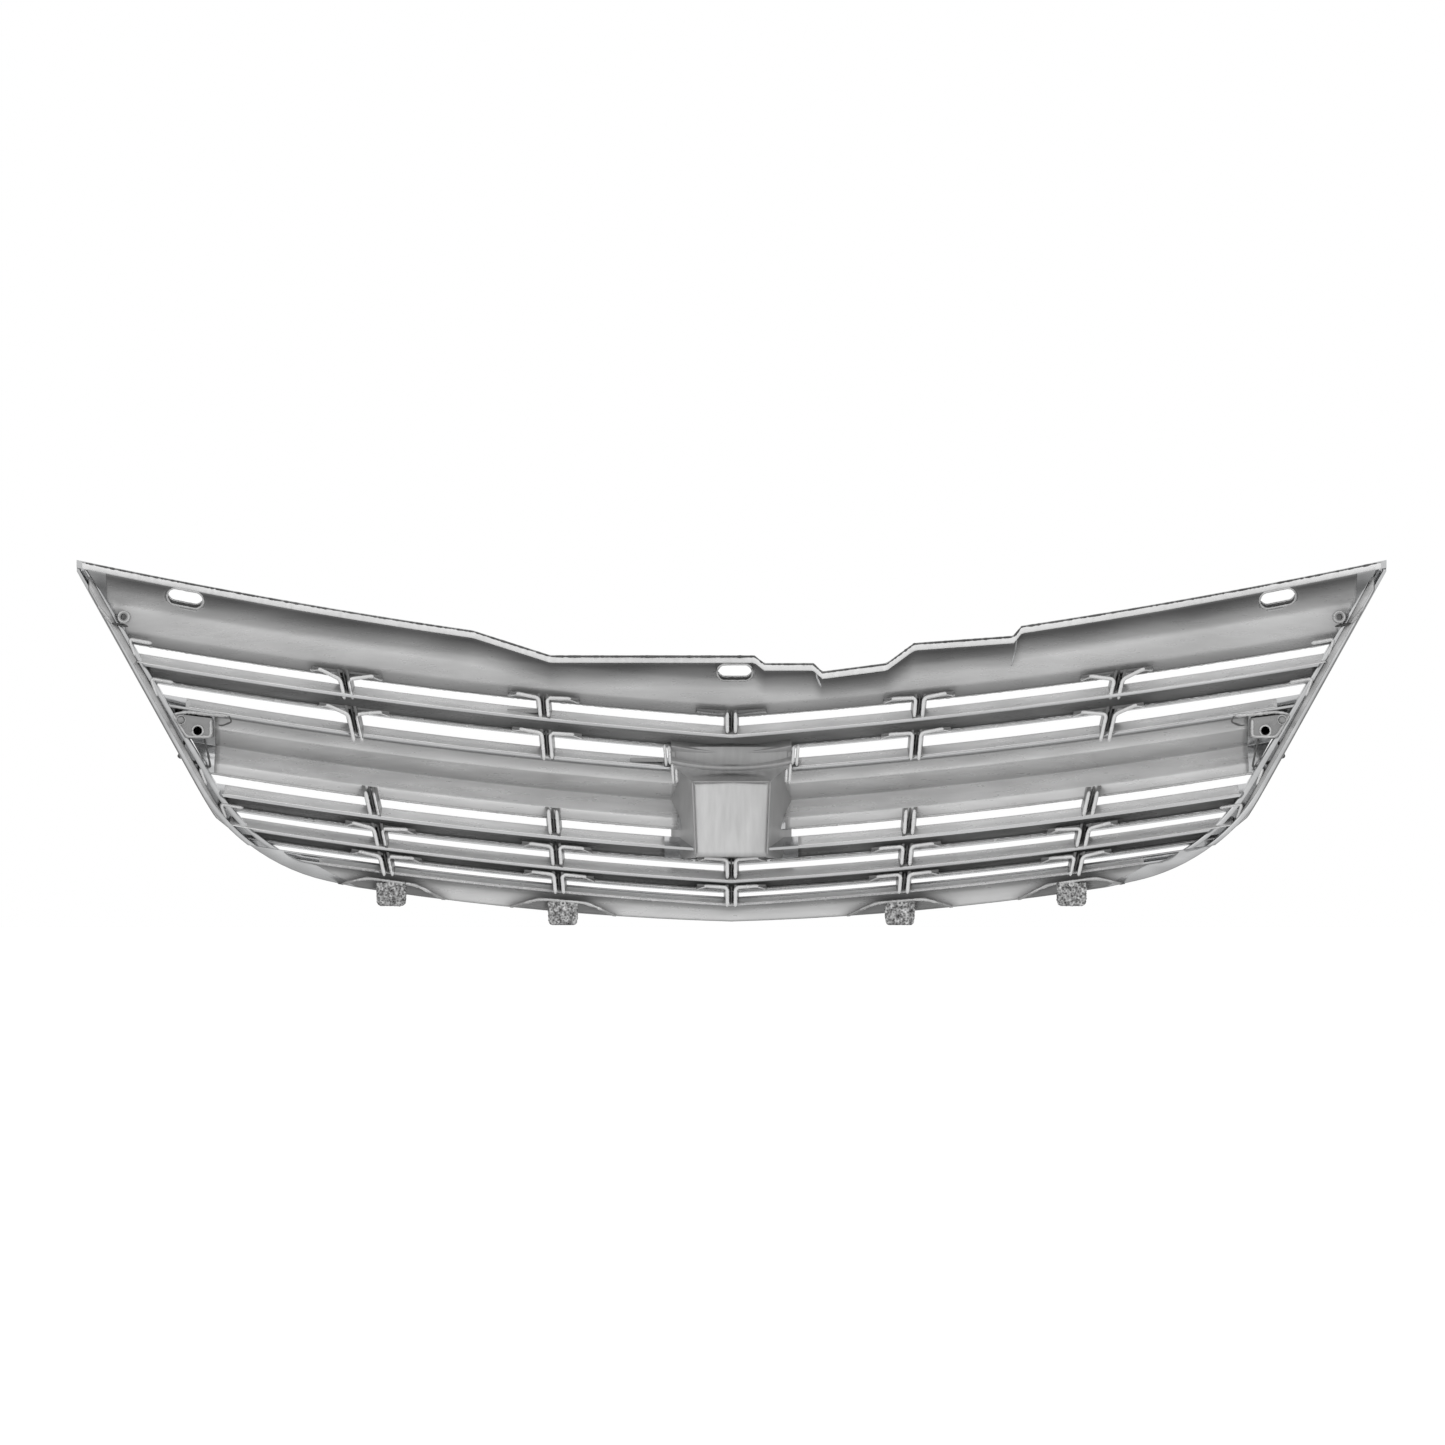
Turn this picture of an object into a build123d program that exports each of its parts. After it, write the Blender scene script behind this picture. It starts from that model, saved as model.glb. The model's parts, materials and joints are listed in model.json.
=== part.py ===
"""Chrome-plated front grille of a car: one moulded shell, built as its moulded features.

Millimetres.  +Z is up, the grille faces -Y and its open back faces +Y.  The origin is at the
bottom centre of the whole, under the middle of the bowed shell.  Every bar follows the same bow in
plan and its own rise from the centre to the sides; both are parabolas, so each half of a bar runs
along one curve in a tilted plane.
"""
import os
from math import hypot

from build123d import *

# ---------------------------------------------------------------- driving dimensions
half_width = 500.0                  # centre to the upper corner tip
corner_run = 121.5                  # tip to where the side and the bottom edge would cross
corner_lift = 4.3                   # that crossing, above the run of the bottom edge
corner_radius = 150.0
foot_run = 88.5                     # crossing to the end of the curved bottom edge
tip_drop = 8.75                     # blunt tip, below the top edge at the full width
step_radius = 14.0                  # soft corners of the steps in the top edge
end = half_width + 10.0             # how far the swept bars run before they are trimmed
reach = 300.0                       # long enough to pass right through the shell

bow_slope = 0.06                    # the shell has a shallow ridge down its middle
bow_curve = 0.00026

wall = 2.6                          # general wall
leg_wall = 2.0
leg_depth = 20.0                    # front of a slat to the rear edge of its upper leg
leg_drop = 7.2                      # how far the upper leg falls over that depth
bar_leg_depth = 14.0                # the same for the main bar
short_leg = 5.0                     # depth of the lower leg between ribs
ear_depth = 16.0                    # depth of the lower leg beside a rib
upper_leg_rise = 0.2                # slope of the lower legs of the panel and the top slat
lower_leg_rise = 0.28               # the same for the two bottom slats
nose_crown = 2.5                    # how far the front face of a slat bulges

slat_break_inner = 50.0             # where the third slat is divided, beside the cup and by the ribs
slat_break_outer = 260.0

slat_1_height = 21.2
bar_height = 55.6
slat_3_height = 19.8
slat_4_height = 17.6
panel_height = 43.1
window_1 = 6.7                      # clear heights of the five window rows at the centre
window_2 = 6.8
window_3 = 5.4
window_4 = 4.0
window_5 = 2.6
lower_panel_height = 19.0

# Height at the centre, straight rise and curved rise of each edge that a bar follows.
bottom_edge = (1.9, 0.030, 0.000223)
lower_edge = (bottom_edge[0] + lower_panel_height, 0.060, 0.000140)
slat_4_foot = (lower_edge[0] + window_5, 0.060, 0.000140)
slat_3_foot = (slat_4_foot[0] + slat_4_height + window_4, 0.062, 0.000131)
bar_foot = (slat_3_foot[0] + slat_3_height + window_3, 0.065, 0.000128)
slat_1_foot = (bar_foot[0] + bar_height + window_2, 0.076, 0.000104)
panel_edge = (slat_1_foot[0] + slat_1_height + window_1, 0.070, 0.000114)
top_edge = (panel_edge[0] + panel_height, 0.100, 0.000109)

# The top edge steps down over the middle: position, and height over the middle of the edge.
step_start = 199.6
step_end = -224.2
step_points = (
    (140.2, 5.3),
    (-17.9, 5.3),
    (-25.4, -0.7),
    (-63.4, -0.7),
    (-70.4, -7.2),
    (-120.4, -0.7),
    (-141.4, 14.8),
    (-218.1, 20.3),
)

frame_width = 7.6                   # side frame, seen from behind
frame_depth = 20.0
frame_inner_depth = 15.0
frame_wall = 2.4
skin_front = -1.0                   # the plain skins stand a little proud of the bars' feet
skin_rear = skin_front + wall

lip_height = 6.0                    # rolled lip along the top edge
lip_front = 6.0
lip_rear = 22.0

# Sections of the big bars: depth behind the front, height above the foot.
panel_front = ((0.0, 0.0), (4.6, 9.6), (7.4, 30.0), (13.0, 40.0), (21.0, 50.0), (25.0, 66.0))
panel_back = ((28.0, 66.0), (24.0, 49.0), (16.0, 38.8), (10.2, 29.0), (7.4, 9.2), (3.0, 0.0))
bar_shoulder = 3.6                  # drop from the bar's top to the back of its upper leg's root
bar_front = ((0.0, 0.0), (-1.5, 7.5), (-15.0, 22.5), (-5.0, 37.0), (-1.5, 46.0))
bar_back = ((1.6, 46.0), (-1.6, 35.8), (-11.6, 22.6), (2.2, 8.6), (4.4, 0.8))
shelf_section = ((0.0, -0.9), (10.4, -5.2), (10.4, -7.2), (0.0, -3.2))

rib_front_half = 6.0                # half width of a rib at the front of the windows
rib_rear_half = 4.4
rib_wall = 2.1
rib_web = 1.2
rib_web_depth = 13.0
rib_overlap = 9.0                   # how far the third row's ribs climb the back of the main bar
rib_spare = 18.0                    # how far a rib blank runs past its window before trimming
shelf_fall = 0.41                   # slope of the shelf above the lower panel
ear_length = 16.0
ear_chamfer = 6.0
inner_rib = (131.0, 0.085)          # rib position at height zero, outward lean
outer_rib = (256.0, 0.223)

cup_front_half = 47.0               # badge cup, open to the front
cup_rear_half = 30.0
cup_foot_half = 27.5
cup_front_low = bar_foot[0] - 20.8
cup_front_high = bar_foot[0] + 53.7
cup_rear_low = bar_foot[0] - 17.6
cup_rear_high = bar_foot[0] + 40.7
cup_front_y = -8.0
cup_rear_y = 24.0
hood_half = 46.6                    # wide hood above the cup
hood_low = cup_front_high
hood_high = slat_1_foot[0] + 8.3
hood_front_y = -2.0
hood_rear_y = 15.0
hood_draft = 3.0

slot_length = 27.0                  # push-pin slots along the top
slot_height = 12.0
side_slot_inset = 81.0              # from the tip to the middle of a side slot
side_slot_drop = 12.7               # from the top edge down to it
side_slot_tilt = 11.0
centre_slot_drop = 8.1
centre_slot_x = -2.7                # the slot sits a little off the middle
seat_half = 30.0                    # half width of the centre clip seat
corner_inset = 120.0                # width of the corner pieces of the upper panel

boss_inset = 35.0                   # round bosses in the upper corners
boss_drop = 36.2
boss_radius = 4.6
boss_bore = 2.4
boss_bore_depth = 10.0
boss_rear = 21.0

bracket_inset = 90.5                # side brackets, from the tip to the screw hole
bracket_rise = 32.1                 # screw hole above the foot of the main bar
bracket_hole = 6.6
bracket_depth = 20.0
bracket_corners = ((-11.0, -5.5), (9.0, -5.5), (20.5, 13.5), (-11.0, 9.5))
bracket_round = 2.0
pin_offset = (12.8, 8.3)            # pin beside the screw hole
pin_radius = 2.6
pin_length = 7.0
pin_chamfer = 0.8

tab_centres = (130.5, 262.6)
tab_width = 22.0
tab_height = 17.8
tab_thickness = 3.0
tab_depth = 16.0
tab_corner = 3.0
arch_half = 41.0
arch_flat_half = 19.0
arch_rise = 8.0
arch_toe = 0.5                      # how far the ends of an arch dip under the bottom edge
arch_wall = 2.0
arch_fillet = 8.0

lug_length = 26.0                   # cut-off moulding gates
lug_height = 3.0
lug_depth = 9.0
lug_front = 4.0
upper_lug_x = 160.6
lower_lug_x = 65.6


# ---------------------------------------------------------------- curves shared by the parts
def bow(x):
    """How far behind the origin the front of the shell lies at this distance from the centre."""
    return bow_slope * abs(x) + bow_curve * x * x


def height(edge, x):
    """Height of an edge at this distance from the centre."""
    base, slope, curve = edge
    return base + slope * abs(x) + curve * x * x


corner_x = half_width - corner_run
corner_z = height(bottom_edge, corner_x) + corner_lift
foot_end_x = corner_x - foot_run
tip_height = height(top_edge, half_width) - tip_drop
side_slot_x = half_width - side_slot_inset
side_slot_z = height(top_edge, side_slot_x) - side_slot_drop
centre_slot_z = top_edge[0] - centre_slot_drop
boss_x = half_width - boss_inset
boss_z = height(top_edge, boss_x) - boss_drop
bracket_x = half_width - bracket_inset
bracket_z = height(bar_foot, bracket_x) + bracket_rise


def run(edge):
    """One half of a bar's path, a parabola drawn as a three-point Bezier curve."""
    slope, curve = edge[1:]
    half = end / 2
    return Bezier(
        (0, 0, edge[0]),
        (half, bow_slope * half, edge[0] + slope * half),
        (end, bow(end), height(edge, end)),
    )


def swept(edge, points):
    """A section carried along an edge without turning, on both sides of the centre."""
    with BuildPart() as bar:
        with BuildLine() as path:
            run(edge)
        with BuildSketch(Plane(origin=(0, 0, edge[0]), x_dir=(0, 1, 0), z_dir=(1, 0, 0))):
            with BuildLine():
                Polyline(*points, close=True)
            make_face()
        sweep(path=path.line, normal=(1, 0, 0))
        mirror(about=Plane.YZ)
    return bar.part


def flat_run(edge, x_start, x_end):
    """The same parabola drawn flat in a sketch whose own y is height."""
    slope, curve = edge[1:]
    step = (x_end - x_start) / 2
    side = 1 if x_end + x_start > 0 else -1
    control = (
        x_start + step,
        height(edge, x_start) + (side * slope + 2 * curve * x_start) * step,
    )
    return Bezier((x_start, height(edge, x_start)), control, (x_end, height(edge, x_end)))


def bow_band(front, rear):
    """A tall bowed slab: everything between two depths behind the shell's front."""
    with BuildPart() as band:
        with BuildSketch(Plane.XY.offset(-reach)):
            with BuildLine():
                flat_run((front, bow_slope, bow_curve), -end, 0)
                flat_run((front, bow_slope, bow_curve), 0, end)
                Line((end, bow(end) + front), (end, bow(end) + rear))
                flat_run((rear, bow_slope, bow_curve), 0, end)
                flat_run((rear, bow_slope, bow_curve), -end, 0)
                Line((-end, bow(end) + front), (-end, bow(end) + rear))
            make_face()
        extrude(amount=3 * reach)
    return band.part


def inside_outline(inset):
    """Everything inside the side and bottom edges, drawn in by an inset, and open above."""
    side_slope = (tip_height - corner_z) / (half_width - corner_x)
    foot_slope = (corner_z - height(bottom_edge, foot_end_x)) / (corner_x - foot_end_x)
    side_shift = inset * hypot(1, side_slope) / side_slope
    foot_shift = inset * hypot(1, foot_slope)
    cross_x = corner_x - (foot_shift + side_slope * side_shift) / (side_slope - foot_slope)
    foot = (bottom_edge[0] + foot_shift, bottom_edge[1], bottom_edge[2])
    cross_z = height(foot, foot_end_x) + foot_slope * (cross_x - foot_end_x)
    tip_x = half_width - inset
    tip_z = tip_height + side_slope * (side_shift - inset)
    top_z = tip_height + reach
    with BuildPart() as inside:
        with BuildSketch(Plane.XZ) as face:
            with BuildLine():
                flat_run(foot, 0, foot_end_x)
                Polyline(
                    (foot_end_x, height(foot, foot_end_x)),
                    (cross_x, cross_z),
                    (tip_x, tip_z),
                    (tip_x, top_z),
                    (0, top_z),
                    (0, foot[0]),
                )
            make_face()
            corner = face.vertices().sort_by_distance((cross_x, cross_z))[0]
            fillet(corner, corner_radius - inset)
            mirror(about=Plane.YZ)
        extrude(amount=2 * reach, both=True)
    return inside.part


def below_top_edge(drop):
    """Everything below the top edge, which steps down over the centre, lowered by a drop."""
    edge = (top_edge[0] - drop, top_edge[1], top_edge[2])
    steps = [(step_start, height(edge, step_start))]
    steps += [(x, edge[0] + rise) for x, rise in step_points]
    steps += [(step_end, height(edge, step_end))]
    soft_corners = (0, 1, 6, 7)
    with BuildPart() as below:
        with BuildSketch(Plane.XZ) as face:
            with BuildLine():
                flat_run(edge, step_start, end)
                Polyline(*steps)
                flat_run(edge, -end, step_end)
                Polyline((-end, height(edge, -end)), (-end, 0), (end, 0), (end, height(edge, end)))
            make_face()
            for index in soft_corners:
                corner = face.vertices().sort_by_distance(steps[index])[0]
                fillet(corner, step_radius)
        extrude(amount=2 * reach, both=True)
    return below.part


def below_edge(edge):
    """Everything below an edge that a bar follows."""
    with BuildPart() as below:
        with BuildSketch(Plane.XZ):
            with BuildLine():
                flat_run(edge, -end, 0)
                flat_run(edge, 0, end)
                Polyline((end, height(edge, end)), (end, -reach), (-end, -reach), (-end, height(edge, -end)))
            make_face()
        extrude(amount=2 * reach, both=True)
    return below.part


def block(x_low, x_high, y_low, y_high, z_low, z_high):
    """A plain block between two limits along each axis, used to trim."""
    with BuildPart() as cutter:
        with BuildSketch(Plane.XY.offset(z_low)):
            with Locations(((x_low + x_high) / 2, (y_low + y_high) / 2)):
                Rectangle(x_high - x_low, y_high - y_low)
        extrude(amount=z_high - z_low)
    return cutter.part


def span(x_low, x_high):
    """Everything between two positions along the width."""
    return block(x_low, x_high, -reach, reach, -reach, 2 * reach)


def drop_offcuts(builder):
    """Inside a part's own block: leaves only its largest body."""
    add(builder.solids().sort_by(SortBy.VOLUME)[-1], mode=Mode.REPLACE)


whole_outline = inside_outline(0)
core_outline = inside_outline(frame_width)
under_top = below_top_edge(0)
under_lip = below_top_edge(lip_height)
under_lower_edge = below_edge(lower_edge)
finished = {}


# ---------------------------------------------------------------- the open-backed slats
def slat_section(tall, rise):
    """A forward-pointing channel: crowned face, falling upper leg, short lower leg."""
    nose = -nose_crown
    return (
        (0, 0),
        (nose, tall * 0.3),
        (nose, tall * 0.7),
        (0, tall),
        (leg_depth, tall - leg_drop),
        (leg_depth, tall - leg_drop - leg_wall),
        (wall, tall - wall - leg_wall),
        (nose + wall, tall * 0.6),
        (nose + wall, tall * 0.4),
        (wall, leg_wall + rise * wall),
        (short_leg, leg_wall + rise * short_leg),
        (short_leg, rise * short_leg),
    )


def above_plane(edge, level, rise):
    """The space above a plane that follows an edge and rises rearward."""
    return swept(edge, ((-30, level - 30 * rise), (60, level + 60 * rise), (60, 120), (-30, 120)))


def below_plane(edge, level, fall):
    """The space below a plane that follows an edge and falls rearward."""
    return swept(edge, ((-30, level + 30 * fall), (60, level - 60 * fall), (60, -90), (-30, -90)))


def ear_strip(edge, rise):
    """The lower leg of a bar carried on at full depth, from which ears are cut."""
    return swept(
        edge,
        (
            (short_leg, rise * short_leg),
            (ear_depth, rise * ear_depth),
            (ear_depth, rise * ear_depth + leg_wall),
            (short_leg, rise * short_leg + leg_wall),
        ),
    )


def tapered_box(faces, shrink):
    """A box drawn between a front and a rear face, each a level-topped trapezoid."""
    with BuildPart() as box:
        for y, half, foot_half, low, high in faces:
            with BuildSketch(Plane.XZ.offset(-y)):
                with BuildLine():
                    Polyline(
                        (-foot_half + shrink, low + shrink),
                        (foot_half - shrink, low + shrink),
                        (half - shrink, high - shrink),
                        (-half + shrink, high - shrink),
                        close=True,
                    )
                make_face()
        loft()
    return box.part


hood_back_half = hood_half - hood_draft
hood_back_high = hood_high - hood_draft
cup_solid = tapered_box(
    (
        (cup_front_y, cup_front_half, cup_front_half, cup_front_low, cup_front_high),
        (cup_rear_y, cup_rear_half, cup_foot_half, cup_rear_low, cup_rear_high),
    ),
    0,
)
hood_solid = tapered_box(
    (
        (hood_front_y, hood_half, hood_half, hood_low, hood_high),
        (hood_rear_y, hood_back_half, hood_back_half, hood_low, hood_back_high),
    ),
    0,
)

slat_1_bar = swept(slat_1_foot, slat_section(slat_1_height, upper_leg_rise))
with BuildPart() as slat_1:
    add(slat_1_bar)
    add(core_outline, mode=Mode.INTERSECT)
    add(hood_solid, mode=Mode.SUBTRACT)
    drop_offcuts(slat_1)
finished["slat_1"] = slat_1

slat_3_bar = swept(slat_3_foot, slat_section(slat_3_height, lower_leg_rise))
with BuildPart() as slat_3:
    add(slat_3_bar)
    add(core_outline, mode=Mode.INTERSECT)
    add(cup_solid, mode=Mode.SUBTRACT)
    drop_offcuts(slat_3)
slat_3_lengths = {
    "slat_3_centre": (-slat_break_inner, slat_break_inner),
    "slat_3_inner_left": (slat_break_inner, slat_break_outer),
    "slat_3_inner_right": (-slat_break_outer, -slat_break_inner),
    "slat_3_outer_left": (slat_break_outer, end),
    "slat_3_outer_right": (-end, -slat_break_outer),
}
for name, limits in slat_3_lengths.items():
    bay = span(*limits)
    with BuildPart() as length:
        add(slat_3.part)
        add(bay, mode=Mode.INTERSECT)
    finished[name] = length

slat_4_bar = swept(slat_4_foot, slat_section(slat_4_height, lower_leg_rise))
with BuildPart() as slat_4:
    add(slat_4_bar)
    add(core_outline, mode=Mode.INTERSECT)
    add(under_lower_edge, mode=Mode.SUBTRACT)
    drop_offcuts(slat_4)
finished["slat_4"] = slat_4

# ---------------------------------------------------------------- the broad main bar
bar_leg = (
    (0.0, bar_height),
    (bar_leg_depth, bar_height - leg_drop),
    (bar_leg_depth, bar_height - leg_drop - leg_wall),
)
bar_leg_root = (wall, bar_height - bar_shoulder)
main_bar_whole = swept(bar_foot, (*bar_front, *bar_leg, bar_leg_root, *bar_back))
foot_depth = bar_back[-1][0]
ahead_of_bar = swept(
    bar_foot, ((-60, bar_leg_root[1]), bar_leg_root, *bar_back, (foot_depth, -40), (-60, -40))
)
badge_opening = block(
    -cup_front_half, cup_front_half, -60, cup_front_y, cup_front_low, cup_front_high + 10
)
hood_room = block(-hood_half, hood_half, -60, 60, cup_rear_high - 1, hood_high)
with BuildPart() as main_bar:
    add(main_bar_whole)
    add(core_outline, mode=Mode.INTERSECT)
    add(cup_solid, mode=Mode.SUBTRACT)
    add(hood_room, mode=Mode.SUBTRACT)
    add(badge_opening, mode=Mode.SUBTRACT)
with BuildPart() as main_bar_left:
    add(main_bar.solids().sort_by(Axis.X)[-1])
with BuildPart() as main_bar_right:
    add(main_bar.solids().sort_by(Axis.X)[0])
finished["main_bar_left"] = main_bar_left
finished["main_bar_right"] = main_bar_right


# ---------------------------------------------------------------- upper panel, lip, clip seats
def slot_cutter(x, z, tilt):
    """A round-ended slot right through the shell, front to back."""
    with BuildPart() as cutter:
        with BuildSketch(Plane(origin=(x, 0, z), x_dir=(1, 0, 0), z_dir=(0, -1, 0))):
            SlotOverall(slot_length, slot_height, rotation=tilt)
        extrude(amount=reach, both=True)
    return cutter.part


slots = (
    slot_cutter(side_slot_x, side_slot_z, side_slot_tilt),
    slot_cutter(-side_slot_x, side_slot_z, -side_slot_tilt),
    slot_cutter(centre_slot_x, centre_slot_z, 0),
)
panel_bar = swept(panel_edge, (*panel_front, *panel_back))
with BuildPart() as panel:
    add(panel_bar)
    add(core_outline, mode=Mode.INTERSECT)
    add(under_lip, mode=Mode.INTERSECT)
    add(slots, mode=Mode.SUBTRACT)
    drop_offcuts(panel)

lip_band = bow_band(lip_front, lip_rear)
with BuildPart() as lip:
    add(lip_band)
    add(whole_outline, mode=Mode.INTERSECT)
    add(under_top, mode=Mode.INTERSECT)
    add(under_lip, mode=Mode.SUBTRACT)
    add(slots, mode=Mode.SUBTRACT)
    drop_offcuts(lip)

corner_start = half_width - corner_inset
for side_name, limits in (("left", (seat_half, corner_start)), ("right", (-corner_start, -seat_half))):
    bay = span(*limits)
    with BuildPart() as upper_panel:
        add(panel.part)
        add(bay, mode=Mode.INTERSECT)
    finished[f"upper_panel_{side_name}"] = upper_panel
for side_name, limits in (("left", (corner_start, end)), ("right", (-end, -corner_start))):
    bay = span(*limits)
    with BuildPart() as upper_corner:
        add(panel.part)
        add(bay, mode=Mode.INTERSECT)
    finished[f"upper_corner_{side_name}"] = upper_corner
for side_name, limits in (("left", (seat_half, end)), ("right", (-end, -seat_half))):
    bay = span(*limits)
    with BuildPart() as top_lip:
        add(lip.part)
        add(bay, mode=Mode.INTERSECT)
    finished[f"top_lip_{side_name}"] = top_lip
middle_bay = span(-seat_half, seat_half)
with BuildPart() as centre_clip_seat:
    add(panel.part)
    add(lip.part)
    add(middle_bay, mode=Mode.INTERSECT)
finished["centre_clip_seat"] = centre_clip_seat

# ---------------------------------------------------------------- lower panel and its shelf
skin_band = bow_band(skin_front, skin_rear)
shelf_bar = swept(lower_edge, [(skin_rear + depth, level) for depth, level in shelf_section])
with BuildPart() as lower_panel:
    add(skin_band)
    add(whole_outline, mode=Mode.INTERSECT)
    add(under_lower_edge, mode=Mode.INTERSECT)
finished["lower_panel"] = lower_panel
with BuildPart() as lower_shelf:
    add(shelf_bar)
    add(core_outline, mode=Mode.INTERSECT)
    drop_offcuts(lower_shelf)
finished["lower_shelf"] = lower_shelf


# ---------------------------------------------------------------- side frames
def frame_layer(front, rear, outer_inset, inner_inset):
    """One wall of both side frames, between two depths and two insets from the outline."""
    band = bow_band(front, rear)
    outside = inside_outline(outer_inset)
    inside = inside_outline(inner_inset)
    with BuildPart() as layer:
        add(band)
        add(outside, mode=Mode.INTERSECT)
        add(inside, mode=Mode.SUBTRACT)
        add(under_lip, mode=Mode.INTERSECT)
        add(under_lower_edge, mode=Mode.SUBTRACT)
    return layer


frame_layers = (
    frame_layer(skin_front, skin_rear, 0, frame_width),
    frame_layer(skin_rear, frame_depth, 0, frame_wall),
    frame_layer(skin_rear, frame_inner_depth, frame_width - frame_wall, frame_width),
)
side_frames = {}
for side_name, place in (("left", -1), ("right", 0)):
    with BuildPart() as side_frame:
        for layer in frame_layers:
            add(layer.solids().sort_by(Axis.X)[place])
    side_frames[side_name] = side_frame.part
    finished[f"side_frame_{side_name}"] = side_frame

# ---------------------------------------------------------------- badge cup and hood
cup_hollow = tapered_box(
    (
        (cup_front_y - 1, cup_front_half, cup_front_half, cup_front_low, cup_front_high),
        (cup_rear_y - wall, cup_rear_half, cup_foot_half, cup_rear_low, cup_rear_high),
    ),
    wall,
)
hood_floor = hood_low - 2 * wall
hood_hollow = tapered_box(
    (
        (hood_front_y - 1, hood_half, hood_half, hood_floor, hood_high),
        (hood_rear_y - wall, hood_back_half, hood_back_half, hood_floor, hood_back_high),
    ),
    wall,
)
with BuildPart() as badge_cup:
    add(cup_solid)
    add(cup_hollow, mode=Mode.SUBTRACT)
    drop_offcuts(badge_cup)
finished["badge_cup"] = badge_cup
with BuildPart() as badge_hood:
    add(hood_solid)
    add(hood_hollow, mode=Mode.SUBTRACT)
    add(cup_solid, mode=Mode.SUBTRACT)
    drop_offcuts(badge_hood)
finished["badge_hood"] = badge_hood


# ---------------------------------------------------------------- ribs across the windows
def rib_blank(position, low, high):
    """A tapered double wall with a face in front and a thin web inside, leaning outward."""
    base, lean = position
    x_low = base + lean * low
    back = (bow_slope + 2 * bow_curve * x_low) * lean
    half_gap = rib_rear_half - rib_wall
    front_gap = rib_front_half - rib_wall - 0.6
    tail = leg_depth - 1
    with BuildPart() as blank:
        with BuildSketch(Plane(origin=(x_low, bow(x_low), low), x_dir=(1, 0, 0), z_dir=(0, 0, 1))):
            with BuildLine():
                Polyline(
                    (-rib_front_half, 0),
                    (rib_front_half, 0),
                    (rib_rear_half, tail),
                    (half_gap, tail),
                    (front_gap, wall),
                    (rib_web / 2, wall),
                    (rib_web / 2, rib_web_depth),
                    (-rib_web / 2, rib_web_depth),
                    (-rib_web / 2, wall),
                    (-front_gap, wall),
                    (-half_gap, tail),
                    (-rib_rear_half, tail),
                    close=True,
                )
            make_face()
        extrude(amount=(high - low) * hypot(lean, back, 1), dir=(lean, back, 1))
    return blank.part


def ear_footprint(position, level):
    """The plan shape of a pair of ears: square to the rib, cut back at their outer ends."""
    base, lean = position
    x = base + lean * level
    near = rib_rear_half - rib_wall
    far = rib_front_half + ear_length
    with BuildPart() as footprint:
        with BuildSketch(Plane(origin=(x, bow(x), 0), x_dir=(1, 0, 0), z_dir=(0, 0, 1))):
            for side in (-1, 1):
                with BuildLine():
                    Polyline(
                        (side * near, -30),
                        (side * (far + ear_chamfer), -30),
                        (side * (far + ear_chamfer), short_leg),
                        (side * far, 60),
                        (side * near, 60),
                        close=True,
                    )
                make_face()
        extrude(amount=reach)
    return footprint.part


leg_fall = leg_drop / leg_depth
rows = (
    {
        "ceiling": above_plane(panel_edge, leg_wall, upper_leg_rise),
        "floor": below_plane(slat_1_foot, slat_1_height, leg_fall),
        "above": panel.part,
        "below": (slat_1.part,),
        "ears": ear_strip(panel_edge, upper_leg_rise),
        "edges": (panel_edge, slat_1_foot),
    },
    {
        "ceiling": above_plane(slat_1_foot, leg_wall, upper_leg_rise),
        "floor": below_plane(bar_foot, bar_height, leg_drop / bar_leg_depth),
        "above": slat_1.part,
        "below": (main_bar.part,),
        "ears": ear_strip(slat_1_foot, upper_leg_rise),
        "edges": (slat_1_foot, bar_foot),
    },
    {
        "ceiling": above_plane(bar_foot, rib_overlap, 0),
        "floor": below_plane(slat_3_foot, slat_3_height, leg_fall),
        "above": main_bar.part,
        "below": (slat_3.part,),
        "ears": None,
        "edges": (bar_foot, slat_3_foot),
    },
    {
        "ceiling": above_plane(slat_3_foot, leg_wall, lower_leg_rise),
        "floor": below_plane(slat_4_foot, slat_4_height, leg_fall),
        "above": slat_3.part,
        "below": (slat_4.part,),
        "ears": ear_strip(slat_3_foot, lower_leg_rise),
        "edges": (slat_3_foot, slat_4_foot),
    },
    {
        "ceiling": above_plane(slat_4_foot, leg_wall, lower_leg_rise),
        "floor": below_plane(lower_edge, 0, shelf_fall),
        "above": slat_4.part,
        "below": (lower_shelf.part, lower_panel.part),
        "ears": ear_strip(slat_4_foot, lower_leg_rise),
        "edges": (slat_4_foot, lower_edge),
    },
)


def rib(row, position):
    """One rib across one window row, with its ears where the row has them."""
    x = abs(position[0])
    top = height(row["edges"][0], x)
    low = height(row["edges"][1], x)
    blank = rib_blank(position, low - 4, top + rib_spare)
    footprint = ear_footprint(position, top)
    with BuildPart() as ears:
        if row["ears"] is not None:
            add(row["ears"])
            add(footprint, mode=Mode.INTERSECT)
            add(row["above"], mode=Mode.SUBTRACT)
    with BuildPart() as body:
        add(blank)
        add(row["ceiling"], mode=Mode.SUBTRACT)
        add(row["floor"], mode=Mode.SUBTRACT)
        add(row["above"], mode=Mode.SUBTRACT)
        add(row["below"], mode=Mode.SUBTRACT)
        drop_offcuts(body)
        if row["ears"] is not None:
            add(ears.part)
        add(cup_solid, mode=Mode.SUBTRACT)
    return body


columns = {
    "inner_left": (inner_rib, 1),
    "inner_right": (inner_rib, -1),
    "outer_left": (outer_rib, 1),
    "outer_right": (outer_rib, -1),
    "centre": ((0.0, 0.0), 1),
}
centre_rows = (1, 4, 5)             # the badge fills the middle of the other rows
for column, ((base, lean), side) in columns.items():
    for number, row in enumerate(rows, start=1):
        if column != "centre" or number in centre_rows:
            finished[f"rib_{column}_{number}"] = rib(row, (side * base, side * lean))


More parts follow.
